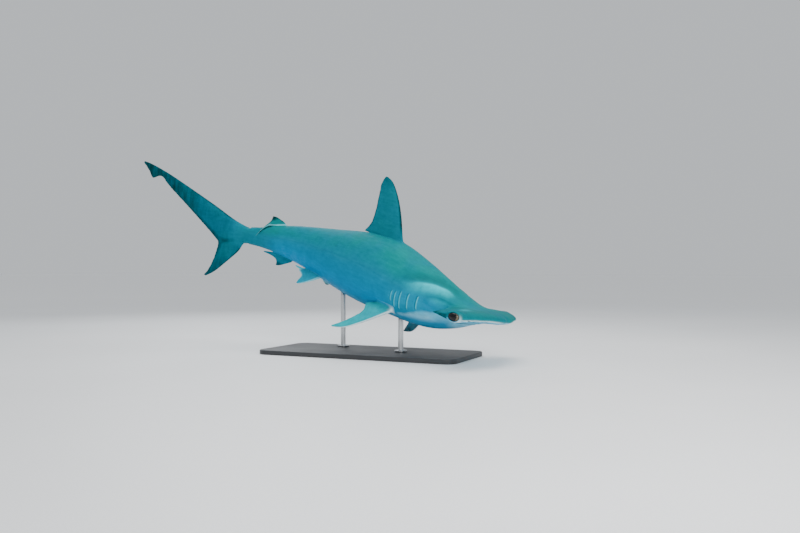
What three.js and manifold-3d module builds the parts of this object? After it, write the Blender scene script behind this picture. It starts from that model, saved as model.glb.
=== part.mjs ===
// A scalloped hammerhead shark, life size, swimming nose down in a right-hand turn on a display stand.
//
// The animal is first described straight and level, by station: how far a point lies behind the tip
// of the snout. Its other two measures are right of and above the line of the backbone. All three
// are in per cent of the total length, as fishes are described. place() then bends the animal along
// its backbone and gives millimetres, with the head towards +X, its right side towards -Y, +Z up.
import * as THREE from 'three';
import Module from 'manifold-3d';

const wasm = await Module();
wasm.setup();

const TOTAL_LENGTH = 2500;
const PER_CENT = TOTAL_LENGTH / 100;
const DEGREE = Math.PI / 180;

// Neighbouring pieces keep this much air between them.
const GAP = 0.3 / PER_CENT;
// Half the thickness of a fin at its edges.
const FIN_EDGE = 0.75 / PER_CENT;

// Pose: the turn to the right of +X and the dip of the nose, in degrees by station, and the bank.
const TURN = [[12, 6], [22, 19], [34, 17], [46, 11.5], [58, -1.5], [68, -16], [76, -22], [92, -28.5]];
const NOSE_DOWN = [[12, 14.5], [22, 19.5], [36, 16], [52, 14.5], [70, 8], [92, 1.5]];
const BANK = 3;
const HEAD_END = 12;
const SPINE_STEP = 0.5;
const SPINE_END = 104;
const HELD_STATION = 30;
const HELD_HEIGHT = 420 / PER_CENT;

// Trunk: height above and below the backbone and half the width, by station.
const TOP = curve([[0.35, 0], [1.2, 0.65], [3, 0.9], [6, 1.1], [8, 1.5], [10, 2.4], [15, 4.6], [20, 6],
  [25, 7.1], [29, 7.85], [35, 7.9], [40, 7.4], [48, 6], [55, 4.9], [62, 3.75], [68, 2.4], [72, 1.9]]);
const BOTTOM = curve([[0.35, 0], [1.2, 0.8], [3, 1.25], [6, 2.1], [10, 4.15], [15, 5.8], [20, 6.6], [25, 7.1],
  [30, 7.6], [36, 7.7], [42, 7.2], [48, 6.2], [55, 4.8], [62, 3.4], [68, 2.3], [72, 1.9]]);
const HALF_WIDTH = curve([[11, 5.2], [15, 5.9], [20, 6.35], [25, 6.6], [30, 6.8], [36, 6.6], [42, 6],
  [48, 5.1], [55, 3.9], [62, 2.7], [68, 1.85], [72, 1.5]]);
const BACK_ROUNDNESS = 1.9;
const BELLY_ROUNDNESS = 2.25;
const RING_POINTS = 36;
const QUARTER = RING_POINTS / 4;

// The muscle of jaw and gills swells the side of the head, with a hollow above it towards the nape.
const SWELL = { from: 9, to: 24, height: 0.05, width: 12 };
const RIDGE_ANGLE = curve([[9, 31], [10.2, 40], [12.3, 47], [14.1, 43], [17.4, 32], [21, 14], [24, 2]]);
const HOLLOW_ABOVE = 22;

const HEAD_TO_TRUNK = 24.4;
const TRUNK_TO_STALK = 57;
const STALK_TO_CAUDAL = 71.6;
const RING_SPACING = 1.5;

// Hammer: its front edge is arched, with a notch in the middle and two shallow ones on each side.
const HAMMER_HALF = 12.5;
const ARCH = 3.8;
const SNOUT = 0.35;
const FRONT_NOTCHES = [{ at: 0, deep: 0.35, wide: 1 }, { at: 5.4, deep: 0.25, wide: 1.1 },
  { at: 10.4, deep: 0.3, wide: 0.55 }];
const NECK_HALF = 5.2;
const NECK_STATION = 11;
const REAR_OF_WING = 10.1;
const NECK_FILLET = 1.1;
const REAR_SWEEP = { from: 8.5, by: 0.9 };
const WING_ROOT_THICK = 1;
const WING_TIP_THICK = 0.85;
const WING_DROOP = 0.65;
const WING_TWIST = 0.9;
const TIP_ROUNDING = 1;
const WING_COLUMNS = [0, 0.12, 0.45, 1, 1.9, 3.1, 4.9, HAMMER_HALF - NECK_HALF];
const CHORD_RINGS = [0, 0.03, 0.1, 0.22, 0.38, 0.56, 0.76, 0.9, 1];

// Eye: an upright oval ball near the front of each wing's end, with a raised lid round it.
const EYE = { behindFront: 1.75, atChord: 0.33, inset: 0.5, long: 1.25, high: 0.85, deep: 0.85, bulge: 0.36 };
const LID = { long: 1.3, high: 0.92, thick: 0.16, inset: 0.2 };
const NOSTRIL = { right: 10.1, behindFront: 0.22, under: 0.32, long: 0.85, wide: 0.2, deep: 0.24 };
const MOUTH = { front: 6.6, corner: 9.2, half: 3.5, groove: 0.13, lip: 0.26, sink: 0.12 };

// Gill flaps: the station of the free rear edge, and the angles of its upper and lower ends.
const GILLS = [{ at: 16.95, high: 3, low: -22 }, { at: 18.85, high: 3, low: -27 },
  { at: 20.55, high: 1, low: -31 }, { at: 21.75, high: -2, low: -30 }, { at: 22.75, high: -4, low: -23 }];
const FLAP = { long: 1.15, raised: 0.2, sunk: 0.3, rows: 7 };

const COLOURS = {
  skin: { color: 0x12909a, roughness: 0.45, metalness: 0 },
  fin: { color: 0x0f7f86, roughness: 0.5, metalness: 0 },
  eye: { color: 0x0b0d0c, roughness: 0.12, metalness: 0 },
  stand: { color: 0x23262a, roughness: 0.5, metalness: 0.4 },
};

// A smooth curve through knots of [place, value]. It starts level where levelStart is set.
function curve(knots, levelStart = false) {
  const last = knots.length - 1;
  const gap = (i) => knots[i + 1][0] - knots[i][0];
  const rise = (i) => (knots[i + 1][1] - knots[i][1]) / gap(i);
  const slope = knots.map((_, i) => {
    if (i === 0) return levelStart ? 0 : rise(0);
    if (i === last) return rise(last - 1);
    return (rise(i - 1) * gap(i) + rise(i) * gap(i - 1)) / (gap(i) + gap(i - 1));
  });
  return (place) => {
    const x = Math.min(Math.max(place, knots[0][0]), knots[last][0]);
    let i = 0;
    while (i < last - 1 && x > knots[i + 1][0]) i += 1;
    const h = gap(i);
    const q = (x - knots[i][0]) / h;
    return (1 + 2 * q) * (1 - q) ** 2 * knots[i][1] + q * (1 - q) ** 2 * h * slope[i]
      + q * q * (3 - 2 * q) * knots[i + 1][1] + q * q * (q - 1) * h * slope[i + 1];
  };
}

function smooth(from, to, x) {
  const q = Math.min(Math.max((x - from) / (to - from), 0), 1);
  return q * q * (3 - 2 * q);
}

function mix(a, b, q) {
  return a + (b - a) * q;
}

function hump(x, width) {
  return Math.exp(-((x / width) ** 2));
}

// Backbone
function frameAt(station) {
  const turn = SPINE.turn(station) * DEGREE;
  const dip = SPINE.dip(station) * DEGREE;
  const bank = BANK * DEGREE;
  const ahead = [Math.cos(dip) * Math.cos(turn), -Math.cos(dip) * Math.sin(turn), -Math.sin(dip)];
  const level = [-Math.sin(turn), -Math.cos(turn), 0];
  const upright = cross(level, ahead);
  return {
    ahead,
    right: level.map((v, k) => Math.cos(bank) * v + Math.sin(bank) * upright[k]),
    up: level.map((v, k) => Math.cos(bank) * upright[k] - Math.sin(bank) * v),
  };
}

function cross(a, b) {
  return [a[1] * b[2] - a[2] * b[1], a[2] * b[0] - a[0] * b[2], a[0] * b[1] - a[1] * b[0]];
}

const SPINE = { turn: curve(TURN, true), dip: curve(NOSE_DOWN, true), frames: [] };

function layBackbone() {
  let at = [0, 0, 0];
  let before = null;
  for (let s = HEAD_END; s <= SPINE_END; s += SPINE_STEP) {
    const frame = frameAt(s);
    if (before) at = at.map((v, k) => v - (frame.ahead[k] + before.ahead[k]) / 2 * SPINE_STEP);
    SPINE.frames.push({ ...frame, at });
    before = frame;
  }
  const held = SPINE.frames[Math.round((HELD_STATION - HEAD_END) / SPINE_STEP)].at;
  const shift = [-held[0], -held[1], HELD_HEIGHT - held[2]];
  SPINE.frames.forEach((frame) => {
    frame.at = frame.at.map((v, k) => v + shift[k]);
  });
}
layBackbone();

// The place in millimetres of a point given by station, right and up. bentAt holds a stiff piece,
// such as a paired fin, to the backbone of one station.
function place([station, right, up], bentAt = station) {
  const run = Math.max(bentAt - HEAD_END, 0) / SPINE_STEP;
  const i = Math.min(Math.floor(run), SPINE.frames.length - 2);
  const q = run - i;
  const [a, b] = [SPINE.frames[i], SPINE.frames[i + 1]];
  const ahead = Math.max(bentAt, HEAD_END) - station;
  return [0, 1, 2].map((k) => PER_CENT * (mix(a.at[k], b.at[k], q)
    + ahead * mix(a.ahead[k], b.ahead[k], q)
    + right * mix(a.right[k], b.right[k], q)
    + up * mix(a.up[k], b.up[k], q)));
}

// Closed shells
class Shell {
  constructor() {
    this.points = [];
    this.known = new Map();
    this.faces = [];
  }

  vertex(p) {
    const key = p.map((v) => Math.round(v * 1000)).join();
    if (!this.known.has(key)) {
      this.known.set(key, this.points.length / 3);
      this.points.push(...p);
    }
    return this.known.get(key);
  }

  triangle(a, b, c) {
    const [i, j, k] = [a, b, c].map((p) => this.vertex(p));
    if (i !== j && j !== k && k !== i) this.faces.push(i, j, k);
  }

  quad(a, b, c, d, otherWay = false) {
    if (otherWay) {
      this.triangle(a, b, d);
      this.triangle(b, c, d);
    } else {
      this.triangle(a, b, c);
      this.triangle(a, c, d);
    }
  }

  // A band of faces between two closed rings. The second half of the ring is split the other way,
  // so that the two faces of a thin fin match.
  band(one, two) {
    const n = one.length;
    for (let i = 0; i < n; i += 1) {
      const j = (i + 1) % n;
      this.quad(one[i], one[j], two[j], two[i], i >= n / 2);
    }
  }

  fan(ring, middle, turned) {
    ring.forEach((p, i) => {
      const next = ring[(i + 1) % ring.length];
      if (turned) this.triangle(middle, next, p);
      else this.triangle(middle, p, next);
    });
  }

  // Closes a ring whose two halves face each other, by strips from one half to the other.
  strip(ring, turned) {
    const n = ring.length;
    for (let i = 0; i < n / 2 - 1; i += 1) {
      const faces = [ring[i], ring[i + 1], ring[n - 2 - i], ring[n - 1 - i]];
      if (turned) faces.reverse();
      this.quad(...faces);
    }
  }

  volume() {
    let six = 0;
    const p = (i) => this.points.slice(3 * i, 3 * i + 3);
    for (let f = 0; f < this.faces.length; f += 3) {
      const [a, b, c] = [p(this.faces[f]), p(this.faces[f + 1]), p(this.faces[f + 2])];
      const n = cross(b, c);
      six += a[0] * n[0] + a[1] * n[1] + a[2] * n[2];
    }
    return six / 6;
  }

  solid() {
    const faces = this.faces.slice();
    if (this.volume() < 0) faces.reverse();
    return new wasm.Manifold(new wasm.Mesh({
      numProp: 3,
      vertProperties: new Float32Array(this.points),
      triVerts: new Uint32Array(faces),
    }));
  }
}

function rings(list, bentAt) {
  return list.map((ring) => ring.map((p) => place(p, bentAt)));
}

// A closed loft through rings, with a flat fan on each end.
function loft(list, bentAt) {
  const shell = new Shell();
  const placed = rings(list, bentAt);
  placed.slice(1).forEach((ring, i) => shell.band(placed[i], ring));
  const middle = (ring) => [0, 1, 2].map((k) => ring.reduce((sum, p) => sum + p[k], 0) / ring.length);
  shell.fan(placed[0], middle(placed[0]), true);
  shell.fan(placed.at(-1), middle(placed.at(-1)), false);
  return shell.solid();
}

function largest(solid) {
  return solid.decompose().reduce((best, piece) => (piece.volume() > best.volume() ? piece : best));
}

// Trunk
function swelling(station, angle) {
  const run = (station - SWELL.from) / (SWELL.to - SWELL.from);
  if (run <= 0 || run >= 1 || Math.abs(angle) > 90) return 1;
  const ridge = RIDGE_ANGLE(station);
  const shape = hump(angle - ridge, SWELL.width) - hump(angle - ridge - HOLLOW_ABOVE, SWELL.width);
  return 1 + SWELL.height * Math.sin(Math.PI * run) * shape;
}

// A point of the trunk's surface. The angle is 0 on the right side, 90 on the back, 180 on the left.
// lift raises it off the surface.
function trunkPoint(station, angle, lift = 0) {
  const c = Math.cos(angle * DEGREE);
  const s = Math.sin(angle * DEGREE);
  const power = 2 / (s > 0 ? BACK_ROUNDNESS : BELLY_ROUNDNESS);
  const height = s > 0 ? TOP(station) : BOTTOM(station);
  const side = Math.abs(angle) > 90 ? Math.sign(angle) * (180 - Math.abs(angle)) : angle;
  const swell = swelling(station, side);
  const right = swell * HALF_WIDTH(station) * Math.sign(c) * Math.abs(c) ** power;
  const up = swell * height * Math.sign(s) * Math.abs(s) ** power;
  const far = Math.hypot(right, up);
  return [station, right * (1 + lift / far), up * (1 + lift / far)];
}

function trunkRing(station, lift = 0) {
  return Array.from({ length: RING_POINTS }, (_, i) => {
    const angle = i * 360 / RING_POINTS;
    return trunkPoint(station, angle > 180 ? angle - 360 : angle, lift);
  });
}

function trunkLength(from, to, lift = 0) {
  const steps = Math.ceil((to - from) / RING_SPACING);
  const list = Array.from({ length: steps + 1 }, (_, i) => trunkRing(mix(from, to, i / steps), lift));
  return loft(list);
}

// Hammer
function frontEdge(right) {
  const across = Math.abs(right);
  const notches = FRONT_NOTCHES.reduce((sum, n) => sum + n.deep * hump(across - n.at, n.wide), 0);
  return SNOUT + ARCH * (across / HAMMER_HALF) ** 2.2 + notches - FRONT_NOTCHES[0].deep * hump(across, 3);
}

function rearEdge(right) {
  const swept = REAR_SWEEP.by * smooth(REAR_SWEEP.from, HAMMER_HALF, Math.abs(right));
  const nearNeck = Math.exp(-(Math.abs(right) - NECK_HALF) / NECK_FILLET);
  return REAR_OF_WING + swept + (NECK_STATION - REAR_OF_WING) * nearNeck;
}

// How far in the outer margin of the wing lies at a part of its chord.
function marginInset(chord) {
  if (chord < EYE.atChord) return 0.6 * ((EYE.atChord - chord) / EYE.atChord) ** 2;
  return 0.7 * ((chord - EYE.atChord) / (1 - EYE.atChord)) ** 2;
}

// Half the thickness of the wing, rounded at the margin and fuller round the eye.
function wingThickness(right, chord, margin) {
  const fromMargin = Math.min(Math.max((margin - Math.abs(right)) / TIP_ROUNDING, 0), 1);
  const round = Math.sqrt(1 - (1 - fromMargin) ** 2);
  const reach = smooth(NECK_HALF, HAMMER_HALF, Math.abs(right));
  const aerofoil = Math.abs(Math.sin(Math.PI * chord ** 0.6)) ** 0.8;
  const bulge = EYE.bulge * hump(HAMMER_HALF - Math.abs(right), 1.6) * hump(chord - 0.3, 0.25);
  return (mix(WING_ROOT_THICK, WING_TIP_THICK, reach) + bulge) * aerofoil * round;
}

// The wings hang a little towards their ends, and more so behind the eyes.
function droop(right, chord = EYE.atChord) {
  const beyondNeck = Math.max(Math.abs(right) - NECK_HALF, 0) / (HAMMER_HALF - NECK_HALF);
  const behindEye = Math.max(chord - EYE.atChord, 0) / (1 - EYE.atChord);
  return WING_DROOP * beyondNeck ** 2 * (1 + WING_TWIST * behindEye);
}

// A column of the hammer's upper (face 1) or lower (face -1) surface: from the wing's outer margin,
// column 0, by the side of the neck, to the middle line. side is 1 on the right, -1 on the left.
function hammerPoint(column, chord, face, side) {
  const wingColumns = WING_COLUMNS.length - 1;
  if (column <= wingColumns) {
    const margin = HAMMER_HALF - marginInset(chord);
    const part = WING_COLUMNS[column] / (HAMMER_HALF - NECK_HALF);
    const right = mix(margin, NECK_HALF, part);
    const station = mix(frontEdge(right), rearEdge(right), chord);
    return [station, side * right, face * wingThickness(right, chord, margin) - droop(right, chord)];
  }
  const part = (column - wingColumns) / QUARTER;
  return neckPoint(part, chord, face, side);
}

// part runs from 0 at the side of the neck to 1 on the middle line.
function neckPoint(part, chord, face, side) {
  const height = face > 0 ? TOP : BOTTOM;
  const round = 2 / (face > 0 ? BACK_ROUNDNESS : BELLY_ROUNDNESS);
  const neck = smooth(0.3, 1, chord);
  const asNeck = Math.cos(part * 90 * DEGREE) ** round;
  const right = NECK_HALF * mix(1 - part, asNeck, neck);
  const front = frontEdge(right);
  const station = mix(front, NECK_STATION, chord);
  const wing = wingThickness(right, chord, HAMMER_HALF);
  const dome = mix((1 - Math.cos(Math.PI * part)) / 2, Math.sin(part * 90 * DEGREE) ** round, neck);
  const middle = height(SNOUT + (station - front) * (NECK_STATION - SNOUT) / (NECK_STATION - front));
  const swell = mix(1, swelling(NECK_STATION, face * part * 90), neck);
  const half = chord === 1 ? middle * dome : mix(wing, Math.max(middle, wing), dome);
  return [station, side * right * swell, face * half * swell];
}

function headShell() {
  const shell = new Shell();
  const columns = WING_COLUMNS.length - 1 + QUARTER;
  for (const side of [1, -1]) {
    for (const face of [1, -1]) {
      const at = (column, ring) => place(hammerPoint(column, CHORD_RINGS[ring], face, side));
      for (let c = 0; c < columns; c += 1) {
        for (let r = 0; r < CHORD_RINGS.length - 1; r += 1) {
          const faces = [at(c, r), at(c + 1, r), at(c + 1, r + 1), at(c, r + 1)];
          if (side * face < 0) faces.reverse();
          shell.quad(...faces, side * face < 0);
        }
      }
    }
  }
  const steps = Math.ceil((HEAD_TO_TRUNK - NECK_STATION) / RING_SPACING * 1.5);
  const necks = Array.from({ length: steps + 1 }, (_, i) => {
    return trunkRing(mix(NECK_STATION, HEAD_TO_TRUNK - GAP / 2, i / steps)).map((p) => place(p));
  });
  necks.slice(1).forEach((ring, i) => shell.band(necks[i], ring));
  const end = necks.at(-1);
  shell.fan(end, place([HEAD_TO_TRUNK - GAP / 2, 0, 0]), false);
  return shell.solid();
}

// The lower surface of the head at a station and a distance from its middle line.
function underside(station, right) {
  const across = Math.abs(right);
  const front = frontEdge(across);
  const chord = (station - front) / (NECK_STATION - front);
  let [low, high] = [0, 1];
  for (let i = 0; i < 30; i += 1) {
    const part = (low + high) / 2;
    if (Math.abs(neckPoint(part, chord, -1, 1)[1]) > across) low = part;
    else high = part;
  }
  return neckPoint(low, chord, -1, 1)[2];
}

// Details of the head
function eyeStation() {
  return frontEdge(HAMMER_HALF) + EYE.behindFront;
}

function oval(station, right, up, long, wide, high, turns = 20) {
  const list = [];
  const bands = turns / 2;
  for (let i = 1; i < bands; i += 1) {
    const slope = Math.PI * i / bands;
    list.push(Array.from({ length: turns }, (_, j) => {
      const round = 2 * Math.PI * j / turns;
      return [station + long * Math.sin(slope) * Math.cos(round), right + wide * Math.cos(slope),
        up + high * Math.sin(slope) * Math.sin(round)];
    }));
  }
  const shell = new Shell();
  const placed = rings(list);
  placed.slice(1).forEach((ring, i) => shell.band(placed[i], ring));
  shell.fan(placed[0], place([station, right + wide, up]), true);
  shell.fan(placed.at(-1), place([station, right - wide, up]), false);
  return shell.solid();
}

function eyeball(side, lift = 0) {
  const right = side * (HAMMER_HALF - EYE.inset);
  return oval(eyeStation(), right, -droop(right), EYE.long + lift, EYE.deep + lift, EYE.high + lift);
}

function lid(side) {
  const shell = new Shell();
  const [turns, sides] = [28, 8];
  const ringAt = (i) => Array.from({ length: sides }, (_, j) => {
    const round = 2 * Math.PI * i / turns;
    const about = 2 * Math.PI * j / sides;
    const out = LID.thick * Math.cos(about);
    return place([eyeStation() + (LID.long + out) * Math.cos(round),
      side * (HAMMER_HALF - LID.inset + LID.thick * Math.sin(about)),
      (LID.high + out) * Math.sin(round) - droop(HAMMER_HALF)]);
  });
  for (let i = 0; i < turns; i += 1) shell.band(ringAt(i), ringAt((i + 1) % turns));
  return shell.solid();
}

// A rounded cord along a path of [station, right, up], used for lips and for the line between them.
function cord(path, thick) {
  const sides = 8;
  return loft(path.map((p, i) => {
    const before = path[Math.max(i - 1, 0)];
    const after = path[Math.min(i + 1, path.length - 1)];
    const along = [after[0] - before[0], after[1] - before[1]];
    const size = Math.hypot(...along);
    const across = [along[1] / size, -along[0] / size];
    return Array.from({ length: sides }, (_, j) => {
      const about = 2 * Math.PI * j / sides;
      const out = thick * Math.cos(about);
      return [p[0] + across[0] * out, p[1] + across[1] * out, p[2] + thick * Math.sin(about)];
    });
  }));
}

function mouthPath(back, sink) {
  const points = 17;
  return Array.from({ length: points }, (_, i) => {
    const across = mix(-1, 1, i / (points - 1));
    const right = MOUTH.half * Math.sin(across * 90 * DEGREE);
    const station = MOUTH.front + back + (MOUTH.corner - MOUTH.front) * Math.abs(right / MOUTH.half) ** 2.2;
    return [station, right, underside(station, right) + sink];
  });
}

function gillFlap(gill, side) {
  const grid = (height) => Array.from({ length: FLAP.rows + 1 }, (_, i) => {
    const part = i / FLAP.rows;
    const end = Math.sin(Math.PI * mix(0.08, 0.92, part));
    const angle = mix(gill.high, gill.low, part);
    return [0, 0.45, 0.8, 1].map((along) => {
      const station = gill.at - FLAP.long * (1 - along) * end;
      const lift = height === 'outer' ? mix(-0.12, FLAP.raised, along) * end : -FLAP.sunk;
      const [s, right, up] = trunkPoint(station, angle, lift);
      return [s, side * right, up];
    });
  });
  const [outer, inner] = [grid('outer'), grid('inner')];
  return loft(outer.map((row, i) => [...row, ...inner[i].slice().reverse()]));
}

function nostril(side) {
  const at = frontEdge(NOSTRIL.right) + NOSTRIL.behindFront;
  const up = -NOSTRIL.under - droop(NOSTRIL.right);
  return oval(at, side * NOSTRIL.right, up, NOSTRIL.wide, NOSTRIL.long, NOSTRIL.deep, 12);
}

function makeHead() {
  let head = headShell();
  head = head.add(cord(mouthPath(-MOUTH.lip, MOUTH.sink), MOUTH.lip));
  head = head.add(cord(mouthPath(MOUTH.lip, MOUTH.sink), MOUTH.lip));
  head = head.subtract(cord(mouthPath(0, -MOUTH.groove / 2), MOUTH.groove));
  for (const side of [1, -1]) {
    GILLS.forEach((gill) => {
      head = head.add(gillFlap(gill, side));
    });
    head = head.add(lid(side)).subtract(nostril(side)).subtract(eyeball(side, GAP));
  }
  return largest(head);
}

// Fins
// A fin is a vane between a leading and a trailing edge, each given by knots of part of the span,
// along and out. frame turns along, out and the offset from the fin's plane into station, right, up.
const FIN_CHORD = [0, 0.04, 0.13, 0.28, 0.46, 0.66, 0.84, 1];

function edge(knots) {
  const along = curve(knots.map(([q, x]) => [q, x]));
  const out = curve(knots.map(([q, , y]) => [q, y]));
  return (q) => [along(q), out(q)];
}

function vane({ lead, trail, rows, thick, frame, bentAt, stalk = 0 }) {
  const [leading, trailing] = [edge(lead), edge(trail)];
  const half = curve(thick);
  const list = rows.map((q) => {
    const [a, b] = [leading(q), trailing(q)];
    const asStalk = 1 - smooth(0, stalk, q);
    const side = (face) => FIN_CHORD.map((c) => {
      const aerofoil = Math.abs(Math.sin(Math.PI * c ** 0.6)) ** 0.8;
      const ellipse = Math.sqrt(Math.max(0, 1 - (2 * c - 1) ** 2));
      const off = FIN_EDGE + half(q) * (stalk ? mix(aerofoil, ellipse, asStalk) : aerofoil);
      return frame(mix(a[0], b[0], c), mix(a[1], b[1], c), face * off);
    });
    return [...side(1), ...side(-1).reverse()];
  });
  const shell = new Shell();
  const placed = rings(list, bentAt);
  placed.slice(1).forEach((ring, i) => shell.band(placed[i], ring));
  shell.strip(placed[0], true);
  shell.strip(placed.at(-1), false);
  return shell.solid();
}

// The body, a gap larger, that a fin's root is cut back to.
const BODY_AND_GAP = trunkLength(14, STALK_TO_CAUDAL, GAP * 1.15);

function cutToBody(fin) {
  return largest(fin.subtract(BODY_AND_GAP));
}

const upright = (along, out, off) => [along, off, out];

function makeFirstDorsal() {
  return cutToBody(vane({
    frame: upright,
    rows: [0, 0.08, 0.1, 0.13, 0.17, 0.22, 0.3, 0.4, 0.52, 0.64, 0.76, 0.86, 0.93, 0.97, 1],
    lead: [[0, 28.4, 6.9], [0.1, 29.2, 8], [0.5, 32, 13.9], [0.8, 34.5, 17.8], [0.93, 36.3, 19.7],
      [1, 37.9, 20.3]],
    trail: [[0, 38.4, 6.6], [0.08, 38.7, 7.5], [0.13, 41.1, 7.5], [0.17, 40.7, 7.85], [0.25, 39.7, 9.1],
      [0.45, 39.1, 12.2], [0.7, 39.15, 16], [0.9, 39.15, 18.9], [1, 38.4, 20.3]],
    thick: [[0, 0.8], [0.3, 0.55], [0.8, 0.25], [1, 0.05]],
  }));
}

// The long free rear tip of the second dorsal fin drapes over the right side of the stalk.
const DRAPE = { from: 65.6, to: 68.9, angle: 88 };

function makeSecondDorsal() {
  const wrap = (along, out, off) => {
    const past = Math.max(along - DRAPE.from, 0) / (DRAPE.to - DRAPE.from);
    const angle = 90 - DRAPE.angle * past ** 1.25;
    const [station, right, up] = trunkPoint(along, angle, out - TOP(along));
    return [station, right + off * Math.sin(angle * DEGREE), up - off * Math.cos(angle * DEGREE)];
  };
  return cutToBody(vane({
    frame: wrap,
    rows: [0, 0.12, 0.2, 0.28, 0.36, 0.5, 0.65, 0.8, 0.92, 1],
    lead: [[0, 61.6, 2.8], [0.2, 62.4, 4], [0.6, 64, 4.9], [0.85, 65, 5.35], [1, 65.6, 5.4]],
    trail: [[0, 65.6, 2.2], [0.12, 65.8, 3.1], [0.2, 68.7, 2.6], [0.28, 68.9, 2.75], [0.36, 67.6, 3.2],
      [0.5, 66.4, 3.8], [0.7, 66, 4.45], [0.9, 65.9, 5.1], [1, 65.9, 5.35]],
    thick: [[0, 0.34], [0.12, 0.24], [0.2, 0.12], [0.36, 0.14], [1, 0.04]],
  }));
}

function makeAnal() {
  return cutToBody(vane({
    frame: upright,
    rows: [0, 0.12, 0.2, 0.28, 0.36, 0.5, 0.65, 0.8, 0.92, 1],
    lead: [[0, 58, -3.1], [0.2, 58.8, -4.2], [0.6, 60.5, -5.1], [0.85, 61.8, -5.7], [1, 62.7, -5.9]],
    trail: [[0, 64.1, -1.9], [0.12, 64.4, -3], [0.2, 67.2, -3], [0.28, 66.8, -3.35], [0.36, 65.3, -3.6],
      [0.6, 63.4, -4.4], [0.85, 63, -5.4], [1, 63.1, -5.85]],
    thick: [[0, 0.36], [0.3, 0.24], [1, 0.04]],
  }));
}

// A paired fin leans down from the level by its slope, out from a root on the side of the body.
function paired(side, root, slope) {
  const c = Math.cos(slope * DEGREE);
  const s = Math.sin(slope * DEGREE);
  return (along, out, off) => [along, side * (root[0] + out * c + off * s), root[1] - out * s + off * c];
}

// The left pectoral fin hangs a little lower, on the outer side of the turn.
const PECTORAL_SLOPE = { right: 47, left: 60 };

function makePectoral(side) {
  return cutToBody(vane({
    frame: paired(side, [5.4, -4.6], side > 0 ? PECTORAL_SLOPE.right : PECTORAL_SLOPE.left),
    bentAt: 24,
    rows: [0, 0.14, 0.18, 0.23, 0.28, 0.34, 0.42, 0.52, 0.62, 0.72, 0.81, 0.89, 0.95, 1],
    lead: [[0, 21.2, -1.2], [0.14, 21.7, 0], [0.45, 24.1, 3.5], [0.7, 26.2, 6.4], [0.88, 28.6, 8.9],
      [1, 31, 9.9]],
    trail: [[0, 26.3, -1.2], [0.14, 26.5, 0], [0.18, 27.6, 0.5], [0.26, 29.2, 1.4], [0.34, 28.4, 2.3],
      [0.45, 28, 3.4], [0.7, 29.1, 6.3], [0.88, 30.5, 8.6], [1, 31.4, 9.75]],
    thick: [[0, 0.7], [0.3, 0.5], [0.8, 0.22], [1, 0.04]],
  }));
}

// A young male's claspers: short rods at the inner edges of the pelvic fins.
const CLASPER = { path: [[52.6, 1.5, -4.9], [54, 1.55, -5], [55.5, 1.5, -5], [57, 1.4, -4.85]], thick: 0.17 };

function clasper(side) {
  return cord(CLASPER.path.map(([s, right, up]) => [s, side * right, up]), CLASPER.thick);
}

function makePelvic(side) {
  const fin = vane({
    frame: paired(side, [2.4, -5.4], 40),
    bentAt: 50,
    rows: [0, 0.2, 0.28, 0.36, 0.46, 0.58, 0.72, 0.85, 0.94, 1],
    lead: [[0, 47.6, -1.2], [0.25, 48, 0.3], [0.6, 49.6, 2.3], [0.85, 51, 3.6], [1, 51.9, 4.1]],
    trail: [[0, 52.8, -1.4], [0.2, 53, -0.9], [0.3, 55.2, -0.3], [0.38, 54.8, 0.3], [0.5, 53.3, 1],
      [0.8, 52.7, 3], [1, 52.4, 4]],
    thick: [[0, 0.4], [0.3, 0.3], [0.8, 0.14], [1, 0.04]],
  });
  return cutToBody(fin.add(clasper(side)));
}

// The dorsal lobe carries the end of the backbone. The ventral lobe is joined to its lower edge.
function makeCaudal() {
  const start = STALK_TO_CAUDAL + GAP / 2;
  const dorsal = vane({
    frame: upright,
    stalk: 0.3,
    rows: [0, 0.05, 0.1, 0.16, 0.22, 0.3, 0.4, 0.5, 0.6, 0.7, 0.8, 0.86, 0.9, 0.94, 0.97, 1],
    lead: [[0, start, TOP(start)], [0.1, 74.2, 3], [0.3, 79.6, 6.2], [0.6, 87, 10.8], [0.8, 91.8, 13.9],
      [0.95, 95.6, 15.8], [1, 96.6, 16.1]],
    trail: [[0, start, -BOTTOM(start)], [0.1, 74.2, -2.1], [0.22, 78.2, -2.1], [0.3, 79.8, -0.6],
      [0.6, 86.2, 5.7], [0.8, 91, 10.7], [0.86, 92.6, 12.7], [0.9, 94.2, 12.7], [0.95, 95.5, 14.2],
      [1, 96.7, 15.8]],
    thick: [[0, 1.4], [0.15, 0.85], [0.4, 0.5], [0.8, 0.25], [1, 0.04]],
  });
  const ventral = vane({
    frame: upright,
    rows: [0, 0.12, 0.25, 0.4, 0.55, 0.7, 0.82, 0.91, 0.97, 1],
    lead: [[0, 71.7, -0.6], [0.12, 72.1, -2.4], [0.5, 75.9, -7], [0.85, 79, -9.8], [1, 80.5, -10.6]],
    trail: [[0, 77.6, -0.4], [0.12, 78, -1.9], [0.3, 78.4, -4], [0.6, 79.2, -7.2], [0.85, 80.2, -9.4],
      [1, 81, -10.4]],
    thick: [[0, 0.75], [0.3, 0.45], [0.8, 0.2], [1, 0.04]],
  });
  return largest(dorsal.add(ventral).subtract(trunkLength(66, start, 0.02)));
}

// Display stand
const BASE = { long: 1150, wide: 480, thick: 24, corner: 60, chamfer: 4, behindHeld: 120, left: -20 };
const ROD = { radius: 14, stations: [27, 45], sides: 32, foot: 34, footHigh: 10 };

function column(x, y, radius, from, to, sides = ROD.sides) {
  const shell = new Shell();
  const ring = (z) => Array.from({ length: sides }, (_, i) => {
    const about = 2 * Math.PI * i / sides;
    return [x + radius * Math.cos(about), y + radius * Math.sin(about), z];
  });
  const [low, high] = [ring(from), ring(to)];
  shell.band(low, high);
  shell.fan(low, [x, y, from], true);
  shell.fan(high, [x, y, to], false);
  return shell.solid();
}

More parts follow.
